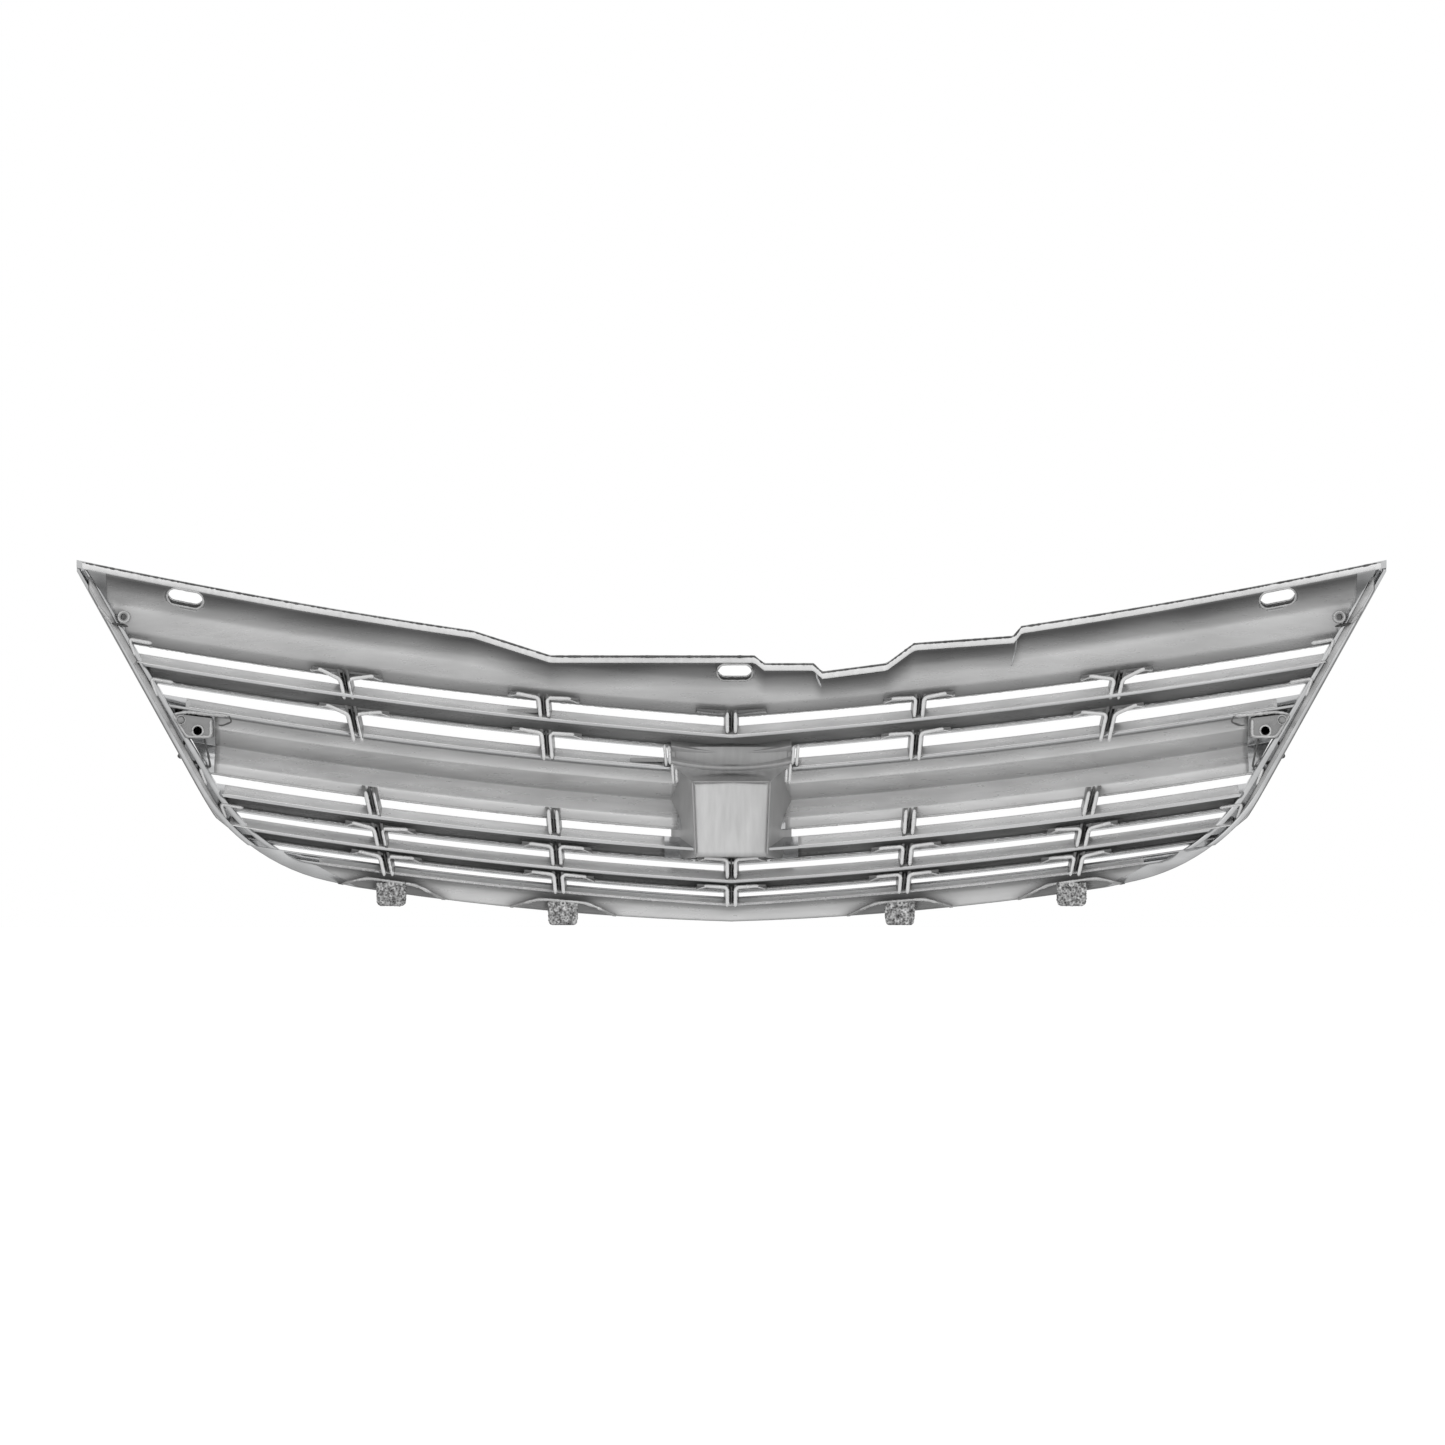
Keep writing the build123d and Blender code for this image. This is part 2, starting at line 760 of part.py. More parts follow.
# ---------------------------------------------------------------- bottom tabs and their arches
def arch(x):
    """A shelf that arches over the bottom edge, drawn as a band and cut to the shell's bow."""
    foot = height(bottom_edge, x)
    tilt = bottom_edge[1] + 2 * bottom_edge[2] * abs(x)
    tilt = tilt if x > 0 else -tilt
    under = (
        (x - arch_half, foot - tilt * arch_half - arch_toe),
        (x - arch_flat_half, foot - tilt * arch_flat_half + arch_rise),
        (x + arch_flat_half, foot + tilt * arch_flat_half + arch_rise),
        (x + arch_half, foot + tilt * arch_half - arch_toe),
    )
    over = [(across, level + arch_wall) for across, level in reversed(under)]
    bends = (*under[1:3], *over[1:3])
    with BuildPart() as shelf:
        with BuildSketch(Plane.XZ) as face:
            with BuildLine():
                Polyline(*under, *over, close=True)
            make_face()
            for bend in bends:
                fillet(face.vertices().sort_by_distance(bend)[0], arch_fillet)
        extrude(amount=2 * reach, both=True)
        add(arch_band, mode=Mode.INTERSECT)
        add(whole_outline, mode=Mode.INTERSECT)
        drop_offcuts(shelf)
    return shelf


def tab(x, shelf):
    """A rounded tongue that hangs from the rear of an arch."""
    top = height(bottom_edge, x) + arch_rise
    with BuildPart() as tongue:
        with BuildSketch(Plane.XZ.offset(-bow(x) - tab_depth)):
            with Locations((x, top - tab_height / 2)):
                Rectangle(tab_width, tab_height)
        extrude(amount=tab_thickness)
        fillet(tongue.edges().filter_by(Axis.Y).group_by(Axis.Z)[0], tab_corner)
        add(shelf.part, mode=Mode.SUBTRACT)
        drop_offcuts(tongue)
    return tongue


arch_band = bow_band(skin_rear, tab_depth + 1)
for column, centre in zip(("inner", "outer"), tab_centres):
    for side_name, side in (("left", 1), ("right", -1)):
        shelf = arch(side * centre)
        finished[f"arch_{column}_{side_name}"] = shelf
        finished[f"tab_{column}_{side_name}"] = tab(side * centre, shelf)


# ---------------------------------------------------------------- side brackets and pins
def bracket(side, frame_part):
    """A screw plate held off the main bar on a short box wall."""
    rear = bow(bracket_x) + bracket_depth
    corners = [(side * (bracket_x + x), bracket_z + z) for x, z in bracket_corners]
    with BuildPart() as plate:
        with BuildSketch(Plane.XZ.offset(-rear)) as face:
            with BuildLine():
                Polyline(*corners, close=True)
            make_face()
            fillet(face.vertices(), bracket_round)
        extrude(amount=wall)
        with BuildSketch(Plane.XZ.offset(wall - rear)) as rim:
            with BuildLine():
                Polyline(*corners, close=True)
            make_face()
            fillet(rim.vertices(), bracket_round)
            offset(amount=-leg_wall, mode=Mode.SUBTRACT)
        extrude(amount=2 * bracket_depth)
        hole_place = Plane(
            origin=(side * bracket_x, rear, bracket_z), x_dir=(1, 0, 0), z_dir=(0, 1, 0)
        )
        with Locations(hole_place):
            Hole(bracket_hole / 2, depth=wall)
        add(ahead_of_bar, mode=Mode.SUBTRACT)
        add(frame_part, mode=Mode.SUBTRACT)
        drop_offcuts(plate)
    return plate


def pin(side):
    """A locating pin that stands rearward off the bracket plate."""
    place = (side * (bracket_x + pin_offset[0]), bracket_z + pin_offset[1])
    with BuildPart() as peg:
        with BuildSketch(Plane.XZ.offset(-bow(bracket_x) - bracket_depth)):
            with Locations(place):
                Circle(pin_radius)
        extrude(amount=-pin_length)
        chamfer(peg.edges().sort_by(Axis.Y)[-1], pin_chamfer)
    return peg


for side_name, side in (("left", 1), ("right", -1)):
    finished[f"bracket_{side_name}"] = bracket(side, side_frames[side_name])
    finished[f"pin_{side_name}"] = pin(side)


# ---------------------------------------------------------------- corner bosses and gate lugs
def boss(side, frame_part):
    """A short blind tube behind the upper corner of the panel."""
    rear = bow(boss_x) + boss_rear
    place = (side * boss_x, boss_z)
    with BuildPart() as tube:
        with BuildSketch(Plane.XZ.offset(-rear)):
            with Locations(place):
                Circle(boss_radius)
        extrude(amount=2 * boss_rear)
        with BuildSketch(Plane.XZ.offset(-rear)):
            with Locations(place):
                Circle(boss_bore)
        extrude(amount=boss_bore_depth, mode=Mode.SUBTRACT)
        add(panel.part, mode=Mode.SUBTRACT)
        add(frame_part, mode=Mode.SUBTRACT)
        rearmost = tube.solids().sort_by(Axis.Y)[-1]
        add(rearmost, mode=Mode.REPLACE)
    return tube


for side_name, side in (("left", 1), ("right", -1)):
    finished[f"boss_{side_name}"] = boss(side, side_frames[side_name])


def lug(x, edge, tall, bar):
    """A cut-off moulding gate left standing on the upper leg of a bar."""
    with BuildPart() as stub:
        with BuildSketch(Plane.XZ.offset(-bow(x) - lug_front - lug_depth)):
            with Locations((x, height(edge, x) + tall - lug_height)):
                Rectangle(lug_length, lug_height)
        extrude(amount=lug_depth)
        add(bar.part, mode=Mode.SUBTRACT)
        drop_offcuts(stub)
    return stub


upper_lug = lug(upper_lug_x, slat_1_foot, slat_1_height, slat_1)
lower_lug = lug(lower_lug_x, bar_foot, bar_height, main_bar)
with BuildPart() as gate_lugs:
    add(upper_lug.part)
    add(finished["rib_inner_left_1"].part, mode=Mode.SUBTRACT)
    add(lower_lug.part)
finished["gate_lugs"] = gate_lugs

# ---------------------------------------------------------------- origin, names and files
whole = Compound(children=[solid for piece in finished.values() for solid in piece.solids()])
box = whole.bounding_box()
to_origin = Location((0, -(box.min.Y + box.max.Y) / 2, -box.min.Z))
os.makedirs("parts", exist_ok=True)
for name, piece in finished.items():
    with BuildPart() as placed:
        add(piece.part.moved(to_origin))
    placed.part.label = name
    export_step(placed.part, f"parts/{name}.step")
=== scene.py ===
"""Looks, light and camera for the chrome grille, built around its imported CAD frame."""
import json
import math

import bmesh
import bpy
from mathutils.noise import noise as noise_at
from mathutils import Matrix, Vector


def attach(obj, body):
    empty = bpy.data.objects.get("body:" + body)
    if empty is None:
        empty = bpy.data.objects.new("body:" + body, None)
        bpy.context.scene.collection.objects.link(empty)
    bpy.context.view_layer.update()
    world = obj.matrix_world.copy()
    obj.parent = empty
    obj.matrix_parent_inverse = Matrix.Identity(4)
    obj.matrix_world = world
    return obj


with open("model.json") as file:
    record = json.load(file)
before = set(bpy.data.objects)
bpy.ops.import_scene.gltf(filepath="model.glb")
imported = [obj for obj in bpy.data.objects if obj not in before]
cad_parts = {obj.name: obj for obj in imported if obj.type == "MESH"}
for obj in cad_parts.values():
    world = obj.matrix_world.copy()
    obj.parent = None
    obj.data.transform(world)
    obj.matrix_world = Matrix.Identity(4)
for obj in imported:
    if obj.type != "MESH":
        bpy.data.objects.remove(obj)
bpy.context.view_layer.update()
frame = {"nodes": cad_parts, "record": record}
nodes = frame["nodes"]

MM = 0.001
IMAGE_SPAN = 1.115          # width of the picture at the grille, in metres
CAMERA_DISTANCE = 6.0
CAMERA_HEIGHT = 0.157
PICTURE_MIDDLE = 0.0069     # where the middle of the picture falls across the grille
CAMERA_SIDE = 0.0069        # how far the camera stands off the middle plane
FLOOR_LEVEL = -0.32

# Curves of the shell, in millimetres as it is modelled: height at the middle, rise, curved rise.
ORIGIN_SHIFT = (-52.697, 0.187)     # from the modelled depth and height to the row frame
BOW = (0.06, 0.00026)
BOTTOM_EDGE = (1.9, 0.030, 0.000223)
LOWER_EDGE = (20.9, 0.060, 0.000140)
SLAT_4 = (23.5, 0.060, 0.000140)
SLAT_3 = (45.1, 0.062, 0.000131)
BAR = (70.3, 0.065, 0.000128)
SLAT_1 = (132.7, 0.076, 0.000104)
PANEL = (160.6, 0.070, 0.000114)
TOP_EDGE = (203.7, 0.100, 0.000109)
INNER_RIB = (131.0, 0.085)          # position at height zero, outward lean
OUTER_RIB = (256.0, 0.223)
TAB_CENTRES = (130.5, 262.6)
STEP_START = 199.6                  # the top edge steps down over the middle
STEP_END = -224.2
STEPS = (
    (140.2, 5.3), (-17.9, 5.3), (-25.4, -0.7), (-63.4, -0.7), (-70.4, -7.2), (-120.4, -0.7),
    (-141.4, 14.8), (-218.1, 20.3),
)
CLIP_SLOTS = {"left": (419, 252, 11), "right": (-419, 252, -11), "centre": (-2.7, 195.6, 0)}
SLOT_SIZE = (27.6, 12.6)            # length and height of the line round a clip slot
SIDES = {"left": 1, "right": -1}    # the left side is at +X
SCREW_HOLE = (409.5, 150.48)        # distance from the middle, height
PIN = (422.3, 158.8)
BOSS = (465, 237.57)
LIP_DEPTH = 22.0                    # back of the top lip


# ---------------------------------------------------------------- where things are
def bow(x):
    """How far behind the middle the shell's front lies at this distance from it."""
    return BOW[0] * abs(x) + BOW[1] * x * x


def height(edge, x):
    """Height of an edge at this distance from the middle."""
    return edge[0] + edge[1] * abs(x) + edge[2] * x * x


def at(x, depth, z):
    """A point in the row frame, from its position, depth behind the shell's front and height."""
    return Vector((x, bow(x) + depth + ORIGIN_SHIFT[0], z + ORIGIN_SHIFT[1])) * MM


def frame_line(z):
    """The inner face of the side frame at a height, as a distance from the middle."""
    straight = 492.4 - (273.5 - z) * 0.5424
    if z > 105:
        return straight
    return straight - 0.0024 * (105 - z) ** 2


def rounded(corners, radius, steps=6):
    """A line through points, with each inner corner turned on a short curve."""
    path = [corners[0]]
    for before, corner, after in zip(corners, corners[1:], corners[2:]):
        enter = corner + (before - corner) * min(0.5, radius / (before - corner).length)
        leave = corner + (after - corner) * min(0.5, radius / (after - corner).length)
        for step in range(steps + 1):
            t = step / steps
            path.append(enter * (1 - t) ** 2 + corner * 2 * t * (1 - t) + leave * t * t)
    path.append(corners[-1])
    return path


def spaced(path, step):
    """The same line with points close enough together to carry small beads and burrs."""
    result = [path[0]]
    for start, stop in zip(path, path[1:]):
        count = max(1, round((stop - start).length / step))
        result += [start.lerp(stop, i / count) for i in range(1, count + 1)]
    return result


# ---------------------------------------------------------------- node helpers
def new_material(name):
    """An empty node material, with its nodes and links."""
    material = bpy.data.materials.new(name)
    material.use_nodes = True
    return material, material.node_tree.nodes, material.node_tree.links


def noise(tree_nodes, links, coordinates, scale, detail, stretch=(1, 1, 1)):
    """A noise texture in object space, stretched along the axes."""
    mapping = tree_nodes.new("ShaderNodeMapping")
    mapping.inputs["Scale"].default_value = stretch
    links.new(coordinates, mapping.inputs["Vector"])
    texture = tree_nodes.new("ShaderNodeTexNoise")
    texture.inputs["Scale"].default_value = scale
    texture.inputs["Detail"].default_value = detail
    links.new(mapping.outputs["Vector"], texture.inputs["Vector"])
    return texture.outputs["Fac"]


def ramp(tree_nodes, links, value, low, high, start, end):
    """Maps a value onto a range of grey or of numbers."""
    node = tree_nodes.new("ShaderNodeMapRange")
    node.inputs["From Min"].default_value = start
    node.inputs["From Max"].default_value = end
    node.inputs["To Min"].default_value = low
    node.inputs["To Max"].default_value = high
    links.new(value, node.inputs["Value"])
    return node.outputs["Result"]


def bump(tree_nodes, links, value, distance, strength, below=None):
    """A bump from a value, laid over another bump if there is one."""
    node = tree_nodes.new("ShaderNodeBump")
    node.inputs["Distance"].default_value = distance
    node.inputs["Strength"].default_value = strength
    links.new(value, node.inputs["Height"])
    if below is not None:
        links.new(below, node.inputs["Normal"])
    return node.outputs["Normal"]


def surface(tree_nodes, links, coordinates, roughness, ripple, grain, grain_scale, streak):
    """Gives a plating its uneven gloss, flow ripples and fine grain."""
    shader = tree_nodes["Principled BSDF"]
    gloss = noise(tree_nodes, links, coordinates, 90, 4, streak)
    links.new(
        ramp(tree_nodes, links, gloss, roughness * 0.75, roughness * 1.3, 0.3, 0.7),
        shader.inputs["Roughness"],
    )
    flow = noise(tree_nodes, links, coordinates, 60, 2, streak)
    fine = noise(tree_nodes, links, coordinates, grain_scale, 2)
    wavy = bump(tree_nodes, links, flow, 0.0012, ripple)
    links.new(bump(tree_nodes, links, fine, 0.0002, grain, wavy), shader.inputs["Normal"])


def chrome(name, tone, roughness, ripple, grain, streak=(1, 1, 1)):
    """Plated plastic: cloudy brightness, uneven gloss, flow ripples and a fine grain."""
    material, tree_nodes, links = new_material(name)
    shader = tree_nodes["Principled BSDF"]
    shader.inputs["Metallic"].default_value = 1.0
    coordinates = tree_nodes.new("ShaderNodeTexCoord").outputs["Object"]
    cloud = noise(tree_nodes, links, coordinates, 22, 3, streak)
    dark = tuple(0.86 * channel for channel in tone)
    colour = tree_nodes.new("ShaderNodeMix")
    colour.data_type = "RGBA"
    colour.inputs["A"].default_value = (*dark, 1)
    colour.inputs["B"].default_value = (*tone, 1)
    links.new(ramp(tree_nodes, links, cloud, 0, 1, 0.35, 0.62), colour.inputs["Factor"])
    links.new(colour.outputs["Result"], shader.inputs["Base Color"])
    surface(tree_nodes, links, coordinates, roughness, ripple, grain, 900, streak)
    return material


LONG_FLOW = (0.35, 1, 2.2)
UPRIGHT_FLOW = (2.5, 1, 0.4)


def hazy(name, tone=None, metallic=0.45, roughness=0.3, ripple=0.1, grain=0.08, cloud=0.06,
         streak=(1, 1, 1)):
    """Hazy plating on an unpolished back: part mirror, part mist, with flow lines and specks.

    Without a tone it takes its brightness from the mesh's plating attribute, which holds painted
    light and shade.
    """
    material, tree_nodes, links = new_material(name)
    shader = tree_nodes["Principled BSDF"]
    shader.inputs["Metallic"].default_value = metallic
    coordinates = tree_nodes.new("ShaderNodeTexCoord").outputs["Object"]
    if tone is None:
        # the plating attribute carries painted light and shade into the base colour
        source = tree_nodes.new("ShaderNodeAttribute")
        source.attribute_name = "plating"
        brightness = source.outputs["Fac"]
    else:
        source = tree_nodes.new("ShaderNodeValue")
        source.outputs[0].default_value = tone
        brightness = source.outputs[0]
    broad = noise(tree_nodes, links, coordinates, 14, 4, streak)
    lines = noise(tree_nodes, links, coordinates, 130, 3, streak)
    for value, amount in ((broad, cloud), (lines, cloud * 0.6)):
        factor = ramp(tree_nodes, links, value, 1 - amount, 1 + amount, 0.3, 0.7)
        product = tree_nodes.new("ShaderNodeMath")
        product.operation = "MULTIPLY"
        links.new(brightness, product.inputs[0])
        links.new(factor, product.inputs[1])
        brightness = product.outputs[0]
    links.new(brightness, shader.inputs["Base Color"])
    surface(tree_nodes, links, coordinates, roughness, ripple, grain, 700, streak)
    return material


def crinkled(name):
    """Built-up plating with small bumps, and bright and dark facets painted into its colour as
    painted glints and painted shade.
    """
    material, tree_nodes, links = new_material(name)
    shader = tree_nodes["Principled BSDF"]
    shader.inputs["Metallic"].default_value = 0.7
    shader.inputs["Roughness"].default_value = 0.22
    coordinates = tree_nodes.new("ShaderNodeTexCoord").outputs["Object"]
    # bright and dark specks in the base colour are painted glints and painted shade
    cells = tree_nodes.new("ShaderNodeTexVoronoi")
    cells.inputs["Scale"].default_value = 620
    links.new(coordinates, cells.inputs["Vector"])
    specks = ramp(tree_nodes, links, cells.outputs["Distance"], 0.1, 0.62, 0.15, 0.8)
    veil = noise(tree_nodes, links, coordinates, 320, 4)
    mixed = tree_nodes.new("ShaderNodeMath")
    mixed.operation = "MULTIPLY"
    links.new(specks, mixed.inputs[0])
    links.new(ramp(tree_nodes, links, veil, 0.2, 1.35, 0.32, 0.68), mixed.inputs[1])
    links.new(mixed.outputs[0], shader.inputs["Base Color"])
    rough = noise(tree_nodes, links, coordinates, 420, 3)
    links.new(bump(tree_nodes, links, rough, 0.0008, 0.7), shader.inputs["Normal"])
    return material


SLOT_MATERIALS = {
    "shell_chrome": chrome("shell_chrome", (0.66, 0.665, 0.67), 0.2, 0.10, 0.08, LONG_FLOW),
    "rib_chrome": hazy("rib_chrome", 0.16, 0.7, 0.3),
    "edge_chrome": hazy("edge_chrome", 0.3, 0.6, 0.3, grain=0.2),
    "satin_chrome": hazy("satin_chrome", 0.34, 0.4, 0.4, cloud=0.08, streak=UPRIGHT_FLOW),
    "bracket_chrome": hazy("bracket_chrome", 0.3, 0.6, 0.3, grain=0.15),
    "rough_chrome": crinkled("rough_chrome"),
}
# the skin and plate finishes carry painted light and shade; bar and edge are painted highlights,
# dark is painted shade
MATERIALS = {
    "skin": hazy("painted_light_skin", None, streak=LONG_FLOW),
    "bar": hazy("painted_highlight_bar", 0.66, 0.4, 0.25, grain=0.12),
    "edge": hazy("painted_highlight_edge", 0.52, 0.5, 0.25, grain=0.3, cloud=0.2),
    "dark": hazy("painted_shade_edge", 0.10, 0.6, 0.3, grain=0.4, cloud=0.35),
    "plate": hazy("plate", None, 0.4, 0.4, cloud=0.09, streak=UPRIGHT_FLOW),
}

# nodes with these names run into each other without a joint, so their edges aren't bevelled
SEAMED = ("upper_", "top_lip", "centre_clip_seat", "slat_3")


def finish_node(name, slot):
    """Gives a CAD node its plating and softens its moulded edges."""
    piece = nodes[name]
    piece.data.materials.clear()
    piece.data.materials.append(SLOT_MATERIALS[slot])
    weld = piece.modifiers.new("weld", "WELD")
    weld.merge_threshold = 0.00002
    for polygon in piece.data.polygons:
        polygon.use_smooth = True
    if name.startswith(SEAMED):
        split = piece.modifiers.new("crisp_edges", "EDGE_SPLIT")
        split.split_angle = math.radians(26)
        return
    bevel = piece.modifiers.new("soft_edges", "BEVEL")
    bevel.width = 0.45 * MM
    bevel.segments = 2
    bevel.limit_method = "ANGLE"
    bevel.angle_limit = math.radians(32)
    bevel.harden_normals = True


for part in frame["record"]["subparts"]:
    finish_node(part["node"], part["material_slot"])


# ---------------------------------------------------------------- plated edges and small features
def piece_from(name, mesh, slot, finish=None):
    """Makes a mesh a piece of the grille, with its plating."""
    piece = bpy.data.objects.new(name, mesh)
    bpy.context.scene.collection.objects.link(piece)
    mesh.materials.append(MATERIALS[finish] if finish else SLOT_MATERIALS[slot])
    for polygon in mesh.polygons:
        polygon.use_smooth = True
    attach(piece, "root")
    return piece


def bead_mesh(name, lines, radius, deep=1.0, rough=0.12, step=1.2, sides=8, taper=True):
    """Rounded beads of plating along lines, uneven as plated edges are."""
    made = bmesh.new()
    for line in lines:
        path = spaced(line, step * MM)
        rings = []
        count = len(path)
        for index, point in enumerate(path):
            ahead = path[min(index + 1, count - 1)] - path[max(index - 1, 0)]
            ahead.normalize()
            side = ahead.cross(Vector((0, 1, 0)))
            side.normalize()
            back = side.cross(ahead)
            swell = 1 + rough * noise_at(point * 420) + 0.6 * rough * noise_at(point * 1300)
            if taper:
                swell *= min(1, 0.35 + 0.5 * min(index, count - 1 - index))
            ring = []
            for corner in range(sides):
                angle = 2 * math.pi * corner / sides
                across = side * (math.cos(angle) * radius * swell * MM)
                inward = back * (math.sin(angle) * radius * swell * deep * MM)
                ring.append(made.verts.new(point + across + inward))
            rings.append(ring)
        for first, second in zip(rings, rings[1:]):
            for corner in range(sides):
                other = (corner + 1) % sides
                made.faces.new((first[corner], first[other], second[other], second[corner]))
        made.faces.new(list(reversed(rings[0])))
        made.faces.new(rings[-1])
    bmesh.ops.recalc_face_normals(made, faces=made.faces)
    mesh = bpy.data.meshes.new(name)
    made.to_mesh(mesh)
    made.free()
    return mesh


# the bar and edge finishes paint highlights on the beads; the dark finish paints shade
FINISH_OF = {"rib_chrome": "bar", "edge_chrome": "edge", "bracket_chrome": "dark"}


def beads(name, lines, radius, slot, **options):
    """A piece made of beads, with the finish that its slot's edges have."""
    mesh = bead_mesh(name, lines, radius, **options)
    return piece_from(name, mesh, slot, FINISH_OF.get(slot))


# window rows: the edge above, the edge of the bar below, its lower legs' slope, its height
ROWS = {
    1: (PANEL, SLAT_1, 0.2, 21.2),
    2: (SLAT_1, BAR, 0.2, 55.6),
    3: (BAR, SLAT_3, 0.2, 19.8),
    4: (SLAT_3, SLAT_4, 0.28, 17.6),
    5: (SLAT_4, LOWER_EDGE, 0.28, 0.0),
}
EAR_DEPTH = 15.2            # of the bead along a rib's ear
WALL_DEPTH = 18.4           # of the bead down a rib's wall
BAR_RADIUS = 1.5
LEG_FALL = 0.36             # fall of the slats' upper legs towards the back


def rib_bars(row, base, lean, side):
    """The two bright bars of one rib: each runs down a wall and out along its ear."""
    upper, lower, rise, tall = ROWS[row]
    lines = []
    for hand in (-1, 1):
        level = height(upper, base)
        foot = height(lower, base) + tall - LEG_FALL * WALL_DEPTH + 1.2
        if row == 2:
            foot = height(lower, base) + tall - 9.0
        if row == 5:
            foot = height(lower, base) - 7.0
        across = hand * 3.15
        wall_top = level + rise * EAR_DEPTH + 1.1 if row != 3 else level + 8.6
        wall_low = at(side * (base + lean * foot) + across, WALL_DEPTH, foot)
        corner = at(side * (base + lean * wall_top) + across, WALL_DEPTH, wall_top)
        if row == 3 or (base == 0 and row == 1):
            lines.append([corner, wall_low])
            continue
        centre = side * (base + lean * level)
        tip_x = centre + hand * 21.0
        toe_x = centre + hand * 27.5
        tip = at(tip_x, EAR_DEPTH, height(upper, tip_x) + rise * EAR_DEPTH + 1.1)
        toe = at(toe_x, 5.2, height(upper, toe_x) + rise * 5 + 1.0)
        lines.append(rounded([toe, tip, corner, wall_low], 3.2 * MM))
    return lines


for column, (base, lean) in (("inner", INNER_RIB), ("outer", OUTER_RIB)):
    for side_name, side in SIDES.items():
        for row in ROWS:
            beads(
                f"rib_bars_{column}_{side_name}_{row}",
                rib_bars(row, base, lean, side), BAR_RADIUS, "rib_chrome", rough=0.1,
            )
for row in (1, 4, 5):
    beads(f"rib_bars_centre_{row}", rib_bars(row, 0, 0, 1), BAR_RADIUS, "rib_chrome", rough=0.1)


def along(edge, depth, lift, x_start, x_end, step=6.0):
    """A line that follows an edge of the shell."""
    count = max(2, round(abs(x_end - x_start) / step))
    line = []
    for i in range(count + 1):
        x = x_start + (x_end - x_start) * i / count
        line.append(at(x, depth, height(edge, x) + lift))
    return line


def window_end(edge, start, lift=0.0, margin=0.0):
    """How far out a line above an edge runs before it reaches the side frame."""
    limit = start
    while frame_line(height(edge, limit) + lift) < limit + margin:
        limit -= 1.0
    return limit


def leg_edge(edge, depth, lift, gap=0.0):
    """The thin bright edge of a bar, from one side frame to the other."""
    limit = window_end(edge, frame_line(height(edge, 420)) - 2)
    if gap:
        return [along(edge, depth, lift, -limit, -gap), along(edge, depth, lift, gap, limit)]
    return [along(edge, depth, lift, -limit, 0) + along(edge, depth, lift, 0, limit)[1:]]


beads("edge_line_panel", leg_edge(PANEL, 2.7, 0.6), 0.75, "edge_chrome", rough=0.5)
beads("edge_line_slat_1", leg_edge(SLAT_1, 5.0, 1.9), 0.9, "edge_chrome", rough=0.5)
beads("edge_line_bar", leg_edge(BAR, 4.3, 0.9, 48), 0.75, "edge_chrome", rough=0.4)
beads("edge_line_slat_3", leg_edge(SLAT_3, 5.0, 2.3, 30), 0.9, "edge_chrome", rough=0.5)
beads("edge_line_slat_4", leg_edge(SLAT_4, 5.0, 2.3), 0.9, "edge_chrome", rough=0.5)
beads("edge_line_shelf", [along(LOWER_EDGE, 11.4, -6.0, -318, 318)], 0.9, "edge_chrome", rough=0.4)


def frame_bars(row, side):
    """The bright bar at the outer end of a window, with a short ear along its top."""
    upper, lower, rise, tall = ROWS[row]
    x_top = frame_line(height(upper, 430)) - 1.5
    x_top = frame_line(height(upper, x_top) + 3) - 1.5
    z_top = height(upper, x_top) + rise * 12 + 1.0
    x_low = frame_line(height(lower, x_top) + tall) - 1.5
    z_low = height(lower, x_low) + tall - 3.0
    tip_x = x_top - 17.0
    tip = at(side * tip_x, 12.0, height(upper, tip_x) + rise * 12 + 1.0)
    corner = at(side * x_top, 13.5, z_top)
    foot = at(side * x_low, 13.5, z_low)
    if row == 3:
        return [[corner, foot]]
    return [rounded([tip, corner, foot], 3.0 * MM)]


for side_name, side in SIDES.items():
    for row in (1, 2, 3, 4):
        beads(
            f"frame_bar_{side_name}_{row}", frame_bars(row, side), BAR_RADIUS, "rib_chrome",
            deep=1.8, rough=0.12,
        )


# ---------------------------------------------------------------- plated skins over the back, with painted light and shade
STUDIO_WHITE = 0.79         # brightness of the studio on a hazy surface
SKIN = 0.18                 # how far the skins stand off the shell
SKIN_THICKNESS = 0.12


def plated(grey):
    """The plating value, painted light and shade in the base colour, that shows as this grey, from
    0 to 255.
    """
    shown = grey / 255
    linear = ((shown + 0.055) / 1.055) ** 2.4
    return linear / STUDIO_WHITE


def blended(stops, value):
    """A value between stops of (position, value), level beyond the ends."""
    if value <= stops[0][0]:
        return stops[0][1]
    for (low, near), (high, far) in zip(stops, stops[1:]):
        if value <= high:
            return near + (far - near) * (value - low) / (high - low)
    return stops[-1][1]


def panel_depth(x, z):
    """Depth of the back of the upper panel at a point."""
    back = ((0, 3.0), (9.2, 7.4), (29.0, 10.2), (38.8, 16.0), (49.0, 24.0), (66.0, 28.0))
    return blended(back, z - height(PANEL, x))


def finish_skin(name, made, tones, slot, finish):
    """Makes a piece of a skin's faces, with a value of painted light and shade for each of its
    points, kept in the plating attribute.
    """
    mesh = bpy.data.meshes.new(name)
    made.to_mesh(mesh)
    made.free()
    # painted light and shade for each point
    layer = mesh.attributes.new("plating", "FLOAT", "POINT")
    layer.data.foreach_set("value", tones)
    piece = piece_from(name, mesh, slot, finish)
    body = piece.modifiers.new("thickness", "SOLIDIFY")
    body.thickness = SKIN_THICKNESS * MM
    body.offset = 0


